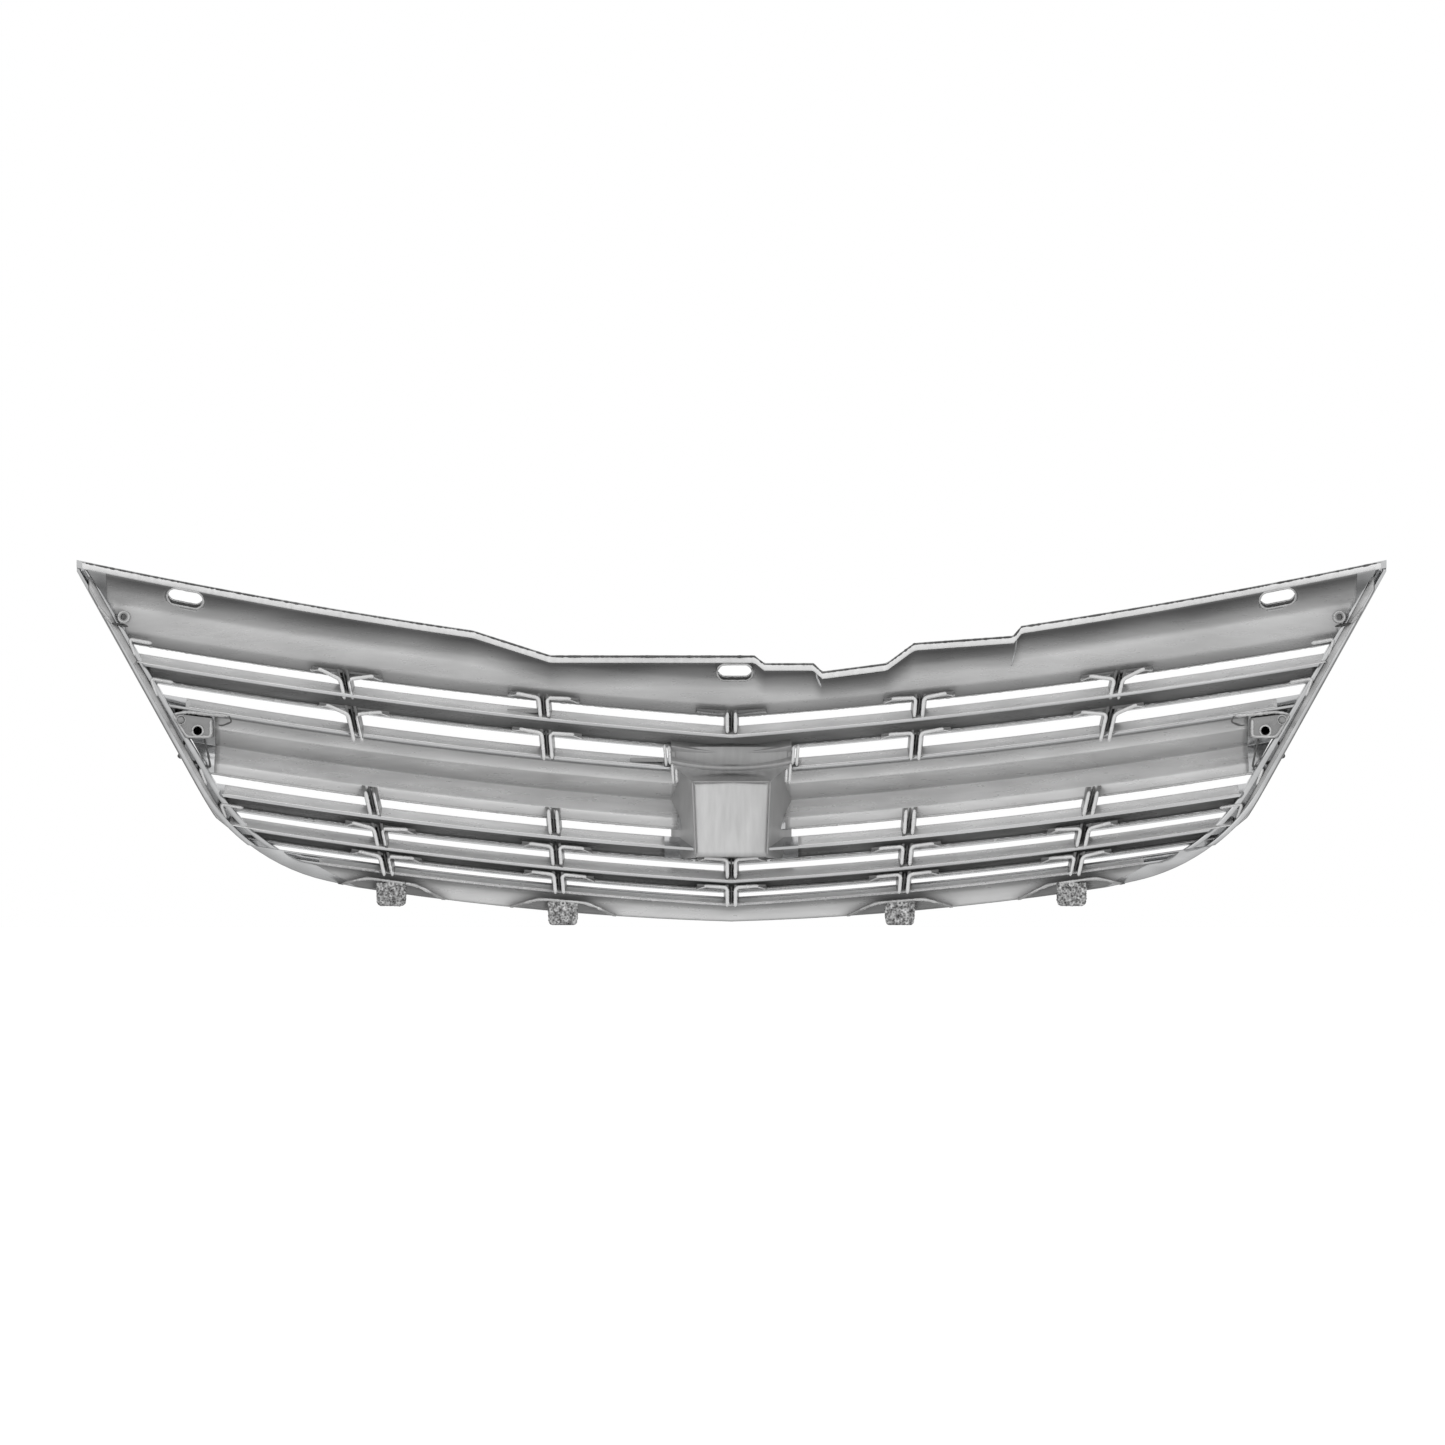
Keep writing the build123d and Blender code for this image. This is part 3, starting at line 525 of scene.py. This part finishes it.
def skin_piece(name, columns, greys, slot="shell_chrome", finish="skin"):
    """A thin skin through columns of points, each point with its grey."""
    made = bmesh.new()
    rows = [[made.verts.new(point) for point in column] for column in columns]
    for first, second in zip(rows, rows[1:]):
        for low in range(len(first) - 1):
            made.faces.new((first[low], second[low], second[low + 1], first[low + 1]))
    tones = [plated(grey) for column in greys for grey in column]
    finish_skin(name, made, tones, slot, finish)


def positions(limit, step=5.0):
    """Positions from one side to the other."""
    count = max(2, math.ceil(2 * limit / step))
    return [-limit + 2 * limit * i / count for i in range(count + 1)]


def swept_skin(name, edge, section, start=None, stop=None, mottle=0.0):
    """A skin along an edge over a section of (depth, height, grey) points, foot to top."""
    middle = sum(level for _, level, _ in section) / len(section)
    across = positions(window_end(edge, 480.0, middle, 0.8))
    if start is not None:
        count = max(2, math.ceil(abs(stop - start) / 5))
        across = [start + (stop - start) * i / count for i in range(count + 1)]
    dense = []
    for (d0, h0, g0), (d1, h1, g1) in zip(section, section[1:]):
        parts = max(1, round(math.hypot(d1 - d0, h1 - h0) / 2.5))
        for i in range(parts):
            t = i / parts
            dense.append((d0 + (d1 - d0) * t, h0 + (h1 - h0) * t, g0 + (g1 - g0) * t))
    dense.append(section[-1])
    columns, greys = [], []
    for x in across:
        columns.append([at(x, depth + SKIN, height(edge, x) + level) for depth, level, _ in dense])
        greys.append([
            grey * (1 + mottle * noise_at(Vector((x * 0.03, level * 0.2, grey * 0.02))))
            for _, level, grey in dense
        ])
    skin_piece(name, columns, greys)


def slat_skins(name, edge, tall, rise, gap, channel):
    """Painted light on the skin of the falling upper leg, painted shade on the skin down the
    channel.
    """
    # painted light along the leg, painted shade down the channel; channel is the grey of the
    # darkest painted shade
    leg = ((0.5, tall - 0.1, 186), (10, tall - 3.5, 196), (19.8, tall - 7.1, 200))
    painted_channel_shade = (
        (5.0, 2.1 + rise * 5, 150), (2.6, 2.2 + rise * 2.6, 128), (0.2, tall * 0.4, channel + 22),
        (0.2, tall * 0.6, channel), (2.6, tall - 4.4, channel - 8),
    )
    reaches = [(None, None)]
    if gap:
        limit = window_end(edge, 470.0, 0.0, 1.0)
        reaches = [(-limit, -gap), (gap, limit)]
    for index, (start, stop) in enumerate(reaches):
        tail = f"_{index + 1}" if gap else ""
        swept_skin(f"{name}_leg_skin{tail}", edge, leg, start, stop, 0.05)
        swept_skin(f"{name}_channel_skin{tail}", edge, painted_channel_shade, start, stop, 0.18)


slat_skins("slat_1", SLAT_1, 21.2, 0.2, 0, 100)
slat_skins("slat_3", SLAT_3, 19.8, 0.28, 52, 92)
slat_skins("slat_4", SLAT_4, 17.6, 0.28, 0, 74)

# sections of the main bar's back, foot to top: depth, height above its foot, grey of its painted
# light and shade
BAR_LEG = ((0.5, 55.5, 186), (7, 52.2, 195), (13.9, 48.6, 197))
BAR_BACK = (
    (4.4, 0.9, 166), (2.2, 8.6, 188), (2.0, 9.0, 190), (-11.4, 22.4, 196), (-11.6, 22.8, 138),
    (-1.6, 35.6, 172), (-1.5, 36.2, 194), (0.0, 41.0, 172), (1.6, 46.0, 152),
)
for side_name, side in reversed(SIDES.items()):
    swept_skin(f"main_bar_leg_skin_{side_name}", BAR, BAR_LEG, side * 419, side * 52, 0.04)
    swept_skin(f"main_bar_back_skin_{side_name}", BAR, BAR_BACK, side * 398, side * 42, 0.06)


def top_height(x):
    """Height of the stepped top edge."""
    if x <= STEP_END or x >= STEP_START:
        return height(TOP_EDGE, x)
    levels = [(place, TOP_EDGE[0] + rise) for place, rise in reversed(STEPS)]
    levels = [(STEP_END, height(TOP_EDGE, STEP_END)), *levels]
    levels.append((STEP_START, height(TOP_EDGE, STEP_START)))
    return blended(levels, x)


# painted light and shade of the upper panel: greys at heights above its edge, and painted shadow
# under the lip at distances below it
PANEL_GREYS = (
    (0, 118), (2, 124), (8.5, 154), (10, 167), (20, 172), (28, 184), (30, 190), (33, 178),
)
LIP_SHADOW = ((0, 92), (2, 84), (7, 112), (13, 146), (19, 170), (24, 200))
LIP_HEIGHT = 6.0


def panel_grey(x, z):
    """Grey of the upper panel: painted shadow under the lip, a painted highlight on the crease,
    painted shade on the nose band.
    """
    above = z - height(PANEL, x)
    below = top_height(x) - LIP_HEIGHT - z
    by_height = blended(PANEL_GREYS, above)
    roof = blended(LIP_SHADOW, below)
    shade = min(by_height, roof) if above > 12 else min(by_height, max(roof, 140))
    cloud = noise_at(Vector((x * 0.018, z * 0.05, 3.0)))
    return shade * (1 + 0.07 * cloud + (0.1 * cloud if below < 12 else 0))


def in_slot(x, z):
    """Whether a point of the panel lies in a clip slot."""
    length, tall = SLOT_SIZE
    for cx, cz, tilt in CLIP_SLOTS.values():
        turn = math.radians(tilt)
        dx, dz = x - cx, z - cz
        along_slot = dx * math.cos(turn) + dz * math.sin(turn)
        across_slot = -dx * math.sin(turn) + dz * math.cos(turn)
        beyond = max(0, abs(along_slot) - (length - tall) / 2)
        if math.hypot(beyond, across_slot) < tall / 2 + 0.6:
            return True
    return False


def panel_skin():
    """The back of the upper panel, with openings for the clip slots."""
    made = bmesh.new()
    rows = 30
    grid, tones = [], []
    for x in positions(478, 2.6):
        foot = height(PANEL, x) + 0.6
        head = top_height(x) - LIP_HEIGHT - 0.1
        column = []
        for i in range(rows + 1):
            z = foot + (head - foot) * i / rows
            inside = frame_line(z) - abs(x) > 0.6
            vertex = made.verts.new(at(x, panel_depth(x, z) + SKIN, z)) if inside else None
            column.append(vertex)
            if inside:
                tones.append(plated(panel_grey(x, z)))
        grid.append((x, foot, head, column))
    for (x0, foot0, head0, first), (x1, foot1, head1, second) in zip(grid, grid[1:]):
        for i in range(rows):
            corners = (first[i], second[i], second[i + 1], first[i + 1])
            if None in corners:
                continue
            share = (i + 0.5) / rows
            z = (foot0 + (head0 - foot0) * share + foot1 + (head1 - foot1) * share) / 2
            if not in_slot((x0 + x1) / 2, z):
                made.faces.new(corners)
    finish_skin("upper_panel_skin", made, tones, "shell_chrome", "skin")


panel_skin()


# painted shade along the top edge, then painted light on the lip
LIP_GREYS = ((0.0, 90), (0.9, 96), (1.6, 206), (4.5, 196), (6.2, 186))


def lip_skin():
    """The rolled lip: a painted shade line along the top, then a painted light band."""
    rows = 9
    columns, greys = [], []
    for x in positions(496, 2.5):
        speck = noise_at(Vector((x * 0.35, 0, 7.0)))
        column, grey = [], []
        for i in reversed(range(rows)):
            drop = 0.15 + (LIP_HEIGHT - 0.1) * i / (rows - 1)
            roll = 0.5 * max(0.0, 1.2 - drop)
            column.append(at(x, LIP_DEPTH + SKIN - roll, top_height(x) - drop))
            shade = blended(LIP_GREYS, drop) * (1 + 0.05 * speck)
            if drop < 1:
                shade += 60 * max(0, speck)
            grey.append(shade)
        columns.append(column)
        greys.append(grey)
    skin_piece("top_lip_skin", columns, greys)


lip_skin()


# painted light and shade: greys of the lower panel at distances below its shelf
LOWER_GREYS = ((0, 132), (2.5, 140), (4.5, 172), (9, 184), (16, 174), (24, 170))


def lower_grey(x, z):
    """Grey of the lower panel: painted shade in a dip under the shelf, painted shadows over the
    arches and painted shade under them.
    """
    grey = blended(LOWER_GREYS, height(LOWER_EDGE, x) - 7 - z)
    for centre in (*TAB_CENTRES, *(-place for place in TAB_CENTRES)):
        away = abs(x - centre)
        crown = height(BOTTOM_EDGE, x) + 9.5 * max(0.0, 1 - max(0.0, away - 17) / 24)
        over = z - crown
        if away < 46:
            fade = max(0.0, 1 - away / 46) ** 0.7
            # painted shadow just above each arch, and painted shade under it
            if over > 0:
                grey *= 1 - 0.62 * fade * max(0.0, 1 - over / 6.5)
            else:
                grey *= 1 - 0.34 * min(1.0, fade * 2)
    return grey


def lower_skin():
    """The back of the lower panel and of the shelf above it."""
    columns, greys = [], []
    for x in positions(330, 3.0):
        foot = height(BOTTOM_EDGE, x) + 0.5
        if abs(x) > 290:
            foot = height(BOTTOM_EDGE, 290) + 0.5 + 0.55 * (abs(x) - 290)
        head = height(LOWER_EDGE, x) - 1.0
        column, grey = [], []
        for i in range(15):
            z = foot + (head - foot) * i / 14
            column.append(at(x, 1.6 + SKIN, z))
            grey.append(lower_grey(x, z))
        columns.append(column)
        greys.append(grey)
    skin_piece("lower_panel_skin", columns, greys)
    # painted light on the shelf's top
    shelf = ((12.0, -5.2, 198), (6.0, -2.7, 196), (1.9, -1.0, 188))
    swept_skin("lower_shelf_skin", LOWER_EDGE, shelf, -318, 318, 0.04)


lower_skin()

# section of the side frame: distance outside its inner face, depth, grey of its painted light and
# shade
FRAME_SECTION = (
    (7.6, 20.1, 92), (6.8, 20.1, 124), (6.0, 19.7, 178), (3.6, 18.0, 170), (1.2, 16.2, 152),
    (0.3, 15.4, 112),
)


def frame_skin(side_name, side):
    """The back of the side frame: a fine painted shade line outside, a painted light band inside.
    """
    columns, greys = [], []
    for step in range(82):
        z = 74.0 + (268.0 - 74.0) * step / 81
        fade = max(0.3, min(1.0, (270.0 - z) / 12, (z - 70.0) / 14))
        inner = frame_line(z)
        columns.append([at(side * (inner + out * fade), deep, z) for out, deep, _ in FRAME_SECTION])
        speck = noise_at(Vector((side * 3.0, 0, z * 0.09)))
        greys.append([grey * (1 + 0.14 * speck) for _, _, grey in FRAME_SECTION])
    skin_piece(f"side_frame_skin_{side_name}", columns, greys)


for side_name, side in SIDES.items():
    frame_skin(side_name, side)


def cup_skin():
    """The floor of the badge cup: painted light, a little darker towards its sides, with faint
    upright flow lines.
    """
    foot, head = 53.4, 110.3
    cup_rear = 24.0
    columns, greys = [], []
    for i in range(21):
        u = -1 + 2 * i / 20
        column, grey = [], []
        for j in range(17):
            t = j / 16
            half = 27.2 + 2.5 * t
            place = at(u * half, 0, foot + (head - foot) * t)
            place.y = (cup_rear + SKIN + ORIGIN_SHIFT[0]) * MM
            column.append(place)
            grey.append(176 + 7 * noise_at(Vector((u * 5, t * 1.2, 1.0))) - 10 * abs(u) ** 6)
        columns.append(column)
        greys.append(grey)
    skin_piece("badge_plate_skin", columns, greys, "satin_chrome", "plate")


cup_skin()


# ---------------------------------------------------------------- top edge and clip slots
def top_line(drop):
    """The top edge as seen from behind, with its steps over the middle."""
    depth, end = LIP_DEPTH - 0.4, 494
    line = along(TOP_EDGE, depth, -drop, end, STEP_START)
    line += [at(x, depth, TOP_EDGE[0] + rise - drop) for x, rise in STEPS]
    line += along(TOP_EDGE, depth, -drop, STEP_END, -end)
    return line


def slot_rim(x, z, tilt):
    """A closed line round a clip slot, lying on the panel's back."""
    line = []
    length, tall = SLOT_SIZE
    turn = math.radians(tilt)
    for step in range(49):
        angle = 2 * math.pi * step / 48
        across = math.copysign((length - tall) / 2, math.cos(angle)) + math.cos(angle) * tall / 2
        if abs(math.cos(angle)) < 1e-6:
            across = 0
        up = math.sin(angle) * tall / 2
        px = x + across * math.cos(turn) - up * math.sin(turn)
        pz = z + across * math.sin(turn) + up * math.cos(turn)
        on_lip = pz > height(TOP_EDGE, px) - LIP_HEIGHT
        depth = LIP_DEPTH if on_lip else panel_depth(px, pz)
        line.append(at(px, depth, pz))
    return line


# a line of painted shade along the top edge
beads("top_edge_line", [top_line(1.1)], 0.85, "bracket_chrome", rough=0.45)
for slot_name, place in CLIP_SLOTS.items():
    rim = slot_rim(*place)
    beads(f"slot_rim_{slot_name}", [rim], 0.8, "edge_chrome", rough=0.3, taper=False)
    # a painted shade bead under each slot's lower rim, and a painted highlight sill under it
    low_half = rim[27:46]
    shade = [point + Vector((0, -0.003, 0.0016)) for point in low_half]
    sill = [point + Vector((0, -0.005, 0.0032)) for point in low_half]
    beads(f"slot_shade_{slot_name}", [shade], 0.95, "bracket_chrome", rough=0.2, deep=2.0)
    beads(f"slot_sill_{slot_name}", [sill], 0.8, "rib_chrome", rough=0.2, deep=2.0)


def panel_step(x_top, x_low, z_low, radius):
    """A shallow upright step in the upper panel, fading at its foot."""
    z_top = height(TOP_EDGE, x_top) - 8
    if abs(x_top) < 120:
        z_top = TOP_EDGE[0] - 6
    line = []
    for i in range(13):
        t = i / 12
        x = x_top + (x_low - x_top) * t * t
        z = z_top + (z_low - z_top) * t
        line.append(at(x, panel_depth(x, z) - 0.25 * radius, z))
    return line


beads("panel_step_inner", [panel_step(-66.0, -70.0, 184, 1.2)], 1.2, "shell_chrome", rough=0.1)
beads("panel_step_outer", [panel_step(-220.4, -216.4, 200, 0.8)], 0.8, "shell_chrome", rough=0.1)


# ---------------------------------------------------------------- arches and crinkled tabs
def arch_line(x):
    """The rear edge of an arch over the bottom edge."""
    tilt = math.copysign(BOTTOM_EDGE[1] + 2 * BOTTOM_EDGE[2] * abs(x), x)
    foot = height(BOTTOM_EDGE, x)
    corners = [
        at(x - 39, 15.2, foot - tilt * 39 + 1.4),
        at(x - 19, 16.6, foot - tilt * 19 + 9.0),
        at(x + 19, 16.6, foot + tilt * 19 + 9.0),
        at(x + 39, 15.2, foot + tilt * 39 + 1.4),
    ]
    return rounded(corners, 8 * MM)


def crinkled_tab(name, x):
    """A tongue with heavy, crinkled plating and round lower corners."""
    wide, tall, thick, corner = 22.6, 18.4, 3.4, 4.2
    made = bmesh.new()
    bmesh.ops.create_cube(made, size=1)
    bmesh.ops.subdivide_edges(made, edges=made.edges, cuts=27, use_grid_fill=True)
    top = height(BOTTOM_EDGE, x) + 8.3
    for vertex in made.verts:
        px, py, pz = vertex.co.x * wide, vertex.co.y * thick, vertex.co.z * tall
        px *= 1 + 0.05 * (pz / tall + 0.5)
        over_x = abs(px) - (wide / 2 - corner)
        over_z = -pz - (tall / 2 - corner)
        if over_x > 0 and over_z > 0:
            reach = math.hypot(over_x, over_z)
            if reach > corner:
                px = math.copysign(wide / 2 - corner + over_x * corner / reach, px)
                pz = -(tall / 2 - corner + over_z * corner / reach)
        rim = 1 - 0.45 * max(0, abs(vertex.co.x) * 2 - 0.9) * 10
        vertex.co = (px, py * rim, pz)
    made.normal_update()
    moves = {}
    for vertex in made.verts:
        place = vertex.co + Vector((x, 0, 0))
        crease = abs(noise_at(place * 0.42)) + 0.6 * abs(noise_at(place * 0.95))
        moves[vertex] = vertex.normal * (0.75 * crease - 0.35)
    for vertex, move in moves.items():
        vertex.co += move
    centre = at(x, 14.4, top - tall / 2)
    for vertex in made.verts:
        vertex.co = centre + vertex.co * MM
    lowest = min(vertex.co.z for vertex in made.verts)
    if lowest < 0.0001:
        for vertex in made.verts:
            vertex.co.z += 0.0001 - lowest
    bmesh.ops.recalc_face_normals(made, faces=made.faces)
    mesh = bpy.data.meshes.new(name)
    made.to_mesh(mesh)
    made.free()
    return piece_from(name, mesh, "rough_chrome")


def ring(x, depth, z, radius, steps=28):
    """A closed round line facing the back."""
    turns = [2 * math.pi * i / steps for i in range(steps + 1)]
    flat = bow(x) + depth
    return [
        at(x + radius * math.cos(a), flat - bow(x + radius * math.cos(a)), z + radius * math.sin(a))
        for a in turns
    ]


for column, centre in zip(("inner", "outer"), TAB_CENTRES):
    for side_name, side in SIDES.items():
        x = side * centre
        beads(
            f"arch_edge_{column}_{side_name}", [arch_line(x)], 1.05, "edge_chrome",
            rough=0.35, deep=1.2,
        )
        crinkled_tab(f"tab_plating_{column}_{side_name}", x)
        knob = [ring(x, 17.0, height(BOTTOM_EDGE, x) + 7.2, 1.6)]
        beads(f"tab_knob_{column}_{side_name}", knob, 0.95, "edge_chrome", rough=0.3, taper=False)


# ---------------------------------------------------------------- corners and side brackets
def plate_line(side, points, depth):
    """A line of points given round the screw hole of a side bracket, level with its plate."""
    hole_x, hole_z = SCREW_HOLE
    flat = bow(hole_x) + depth
    result = []
    for across, up in points:
        x = side * (hole_x + across)
        result.append(at(x, flat - bow(x), hole_z + up))
    return result


for side_name, side in SIDES.items():
    wall = plate_line(side, ((19, 12.4), (8.4, -4.6), (-10, -4.6), (-10, 8.6)), 19.6)
    beads(
        f"bracket_rim_{side_name}", [rounded(wall, 3 * MM)], 1.15, "edge_chrome",
        rough=0.25, deep=1.6,
    )
    flange = plate_line(
        side, ((18.6, 12.6), (8, 14.4), (-2, 13.4), (-10, 12.4), (-23.5, 11.6)), 18.8
    )
    beads(
        f"bracket_flange_{side_name}", [rounded(flange, 3 * MM)], 1.4, "edge_chrome",
        rough=0.4, deep=2.0,
    )
    hook = plate_line(side, ((-23.5, 11.6), (-26.0, 6.8), (-18.5, 3.8), (-15.5, 4.4)), 14.0)
    beads(f"bracket_hook_{side_name}", [rounded(hook, 2 * MM)], 0.7, "bracket_chrome", rough=0.3)
    hole = [ring(side * SCREW_HOLE[0], 20.1, SCREW_HOLE[1], 4.1)]
    beads(f"bracket_hole_rim_{side_name}", hole, 0.75, "edge_chrome", rough=0.25, taper=False)
    collar = [ring(side * PIN[0], 17.2, PIN[1], 3.3)]
    beads(f"pin_collar_{side_name}", collar, 0.55, "edge_chrome", rough=0.3, taper=False)
    gusset = plate_line(side, ((-4, -5), (9, -5.5), (16, -20), (-9, -28), (-7, -17), (-4, -5)), 7.0)
    beads(
        f"bracket_gusset_{side_name}", [rounded(gusset, 1.5 * MM)], 0.8, "bracket_chrome",
        rough=0.3,
    )
    slant = [at(side * 485.0, 16.5, 247.0), at(side * 474.0, 17.5, 232.6)]
    beads(f"corner_wall_{side_name}", [slant], 1.5, "edge_chrome", rough=0.2, deep=3.0)
    stub = [at(side * 474.0, 17.5, 232.6), at(side * 462.0, 16.5, 230.4)]
    beads(f"corner_stub_{side_name}", [stub], 1.0, "bracket_chrome", rough=0.3, deep=2.0)
    boss_rim = [ring(side * BOSS[0], 20.6, BOSS[1], 4.0)]
    beads(f"boss_rim_{side_name}", boss_rim, 0.85, "edge_chrome", rough=0.25, taper=False)


# ---------------------------------------------------------------- visor above the badge cup
def visor():
    """The two curved lips that cross above the badge cup."""
    section = (
        (6.0, 139.0), (13.0, 135.2), (14.6, 133.6), (13.6, 132.2), (11.2, 129.6), (11.4, 125.6),
        (14.4, 123.6), (16.2, 122.2), (16.4, 120.8), (15.0, 119.2), (6.0, 119.2),
    )
    made = bmesh.new()
    rings = []
    count = 40
    for index in range(count + 1):
        x = -47.0 + 94.0 * index / count
        rise = 0.0023 * x * x
        ring_verts = []
        for depth, z in section:
            lift = rise if z > 115 else 0
            ring_verts.append(made.verts.new(at(x, depth, z + lift)))
        rings.append(ring_verts)
    size = len(section)
    for first, second in zip(rings, rings[1:]):
        for corner in range(size):
            other = (corner + 1) % size
            made.faces.new((first[corner], first[other], second[other], second[corner]))
    made.faces.new(list(reversed(rings[0])))
    made.faces.new(rings[-1])
    bmesh.ops.recalc_face_normals(made, faces=made.faces)
    mesh = bpy.data.meshes.new("hood_visor")
    made.to_mesh(mesh)
    made.free()
    piece = piece_from("hood_visor", mesh, "satin_chrome")
    soften = piece.modifiers.new("soft_edges", "BEVEL")
    soften.width = 0.7 * MM
    soften.segments = 2
    soften.limit_method = "ANGLE"
    soften.angle_limit = math.radians(35)
    soften.harden_normals = True


visor()
posts = []
for side in (-1, 1):
    posts.append([at(side * 52.0, 14.0, 140.0), at(side * 50.5, 14.0, 123.0)])
    posts.append([at(side * 48.6, 15.0, 139.0), at(side * 47.4, 15.0, 124.0)])
    posts.append([at(side * 46.0, 16.0, 125.0), at(side * 45.0, 16.5, 109.0)])
    posts.append([at(side * 43.0, 16.4, 121.0), at(side * 42.4, 16.5, 110.0)])
beads("hood_posts", posts, 1.25, "rib_chrome", rough=0.12, deep=2.0)
cup_rim = [
    [at(side * 30.2, 23.2, 110.6), at(side * 27.8, 23.4, 54.0)] for side in (-1, 1)
]
cup_rim.append([at(-29.6, 23.2, 110.8), at(0, 23.9, 110.8), at(29.6, 23.2, 110.8)])
beads("cup_edges", cup_rim, 0.7, "satin_chrome", rough=0.2)


# ---------------------------------------------------------------- studio
# brightness of the studio from straight below, at 0, through the horizon, at 0.5, to straight above
STUDIO_GREYS = (
    (0.0, 0.13), (0.03, 0.20), (0.12, 0.38), (0.235, 0.50), (0.362, 0.65), (0.5, 0.88),
    (0.62, 0.78), (0.75, 0.72), (1.0, 0.82),
)


def studio_world():
    """A soft studio: bright above and beyond the grille, dimmer behind the camera and below."""
    world = bpy.data.worlds.new("studio")
    bpy.context.scene.world = world
    world.use_nodes = True
    tree_nodes = world.node_tree.nodes
    links = world.node_tree.links
    background = tree_nodes["Background"]
    direction = tree_nodes.new("ShaderNodeSeparateXYZ")
    coordinates = tree_nodes.new("ShaderNodeTexCoord")
    links.new(coordinates.outputs["Generated"], direction.inputs["Vector"])
    by_height = tree_nodes.new("ShaderNodeValToRGB")
    elements = by_height.color_ramp.elements
    while len(elements) < len(STUDIO_GREYS):
        elements.new(0.5)
    for element, (position, grey) in zip(elements, STUDIO_GREYS):
        element.position = position
        element.color = (grey, grey, grey, 1)
    height = ramp(tree_nodes, links, direction.outputs["Z"], 0, 1, -1, 1)
    links.new(height, by_height.inputs["Fac"])
    beyond = ramp(tree_nodes, links, direction.outputs["Y"], 0.85, 0, -0.9, 0.1)
    lit = tree_nodes.new("ShaderNodeMix")
    lit.data_type = "RGBA"
    links.new(beyond, lit.inputs["Factor"])
    links.new(by_height.outputs["Color"], lit.inputs["A"])
    lit.inputs["B"].default_value = (0.86, 0.86, 0.865, 1)
    seen = tree_nodes.new("ShaderNodeMix")
    seen.data_type = "RGBA"
    links.new(tree_nodes.new("ShaderNodeLightPath").outputs["Is Camera Ray"], seen.inputs["Factor"])
    links.new(lit.outputs["Result"], seen.inputs["A"])
    seen.inputs["B"].default_value = (1, 1, 1, 1)
    even = tree_nodes.new("ShaderNodeMix")
    even.data_type = "RGBA"
    ray = tree_nodes.new("ShaderNodeLightPath")
    links.new(ray.outputs["Is Diffuse Ray"], even.inputs["Factor"])
    links.new(seen.outputs["Result"], even.inputs["A"])
    even.inputs["B"].default_value = (0.95, 0.95, 0.95, 1)
    links.new(even.outputs["Result"], background.inputs["Color"])


def soft_light(name, place, target, size, power):
    """A square soft light that faces a point."""
    data = bpy.data.lights.new(name, "AREA")
    data.size = size
    data.energy = power
    lamp = bpy.data.objects.new(name, data)
    bpy.context.scene.collection.objects.link(lamp)
    lamp.location = place
    aim = [t - p for t, p in zip(target, place)]
    lamp.rotation_euler = Vector(aim).to_track_quat("-Z", "Y").to_euler()
    return lamp


def pale_floor():
    """A wide plain floor well below the grille."""
    mesh = bpy.data.meshes.new("floor")
    reach = 12.0
    corners = [(-reach, -reach), (reach, -reach), (reach, reach), (-reach, reach)]
    mesh.from_pydata([(x, y, FLOOR_LEVEL) for x, y in corners], [], [(0, 1, 2, 3)])
    floor = bpy.data.objects.new("floor", mesh)
    bpy.context.scene.collection.objects.link(floor)
    material, tree_nodes, links = new_material("floor")
    shader = tree_nodes["Principled BSDF"]
    shader.inputs["Base Color"].default_value = (0.9, 0.9, 0.9, 1)
    shader.inputs["Roughness"].default_value = 0.9
    shader.inputs["Emission Color"].default_value = (1, 1, 1, 1)
    shader.inputs["Emission Strength"].default_value = 0.45
    mesh.materials.append(material)
    floor.visible_glossy = False
    return floor


studio_world()
pale_floor()
soft_light("overhead", (-0.6, 1.2, 2.6), (0, 0, 0.15), 2.4, 6)
soft_light("camera_side", (2.2, 3.2, 1.4), (0, 0, 0.15), 1.2, 2)

camera_data = bpy.data.cameras.new("camera")
camera_data.sensor_width = 36
camera_data.lens = 36 * CAMERA_DISTANCE / IMAGE_SPAN
camera = bpy.data.objects.new("camera", camera_data)
bpy.context.scene.collection.objects.link(camera)
camera.location = (CAMERA_SIDE, CAMERA_DISTANCE, CAMERA_HEIGHT)
turn = math.atan2(CAMERA_SIDE - PICTURE_MIDDLE, CAMERA_DISTANCE)
camera.rotation_euler = (math.radians(90), 0, math.radians(180) - turn)
bpy.context.scene.camera = camera
bpy.context.scene.view_settings.view_transform = "Standard"
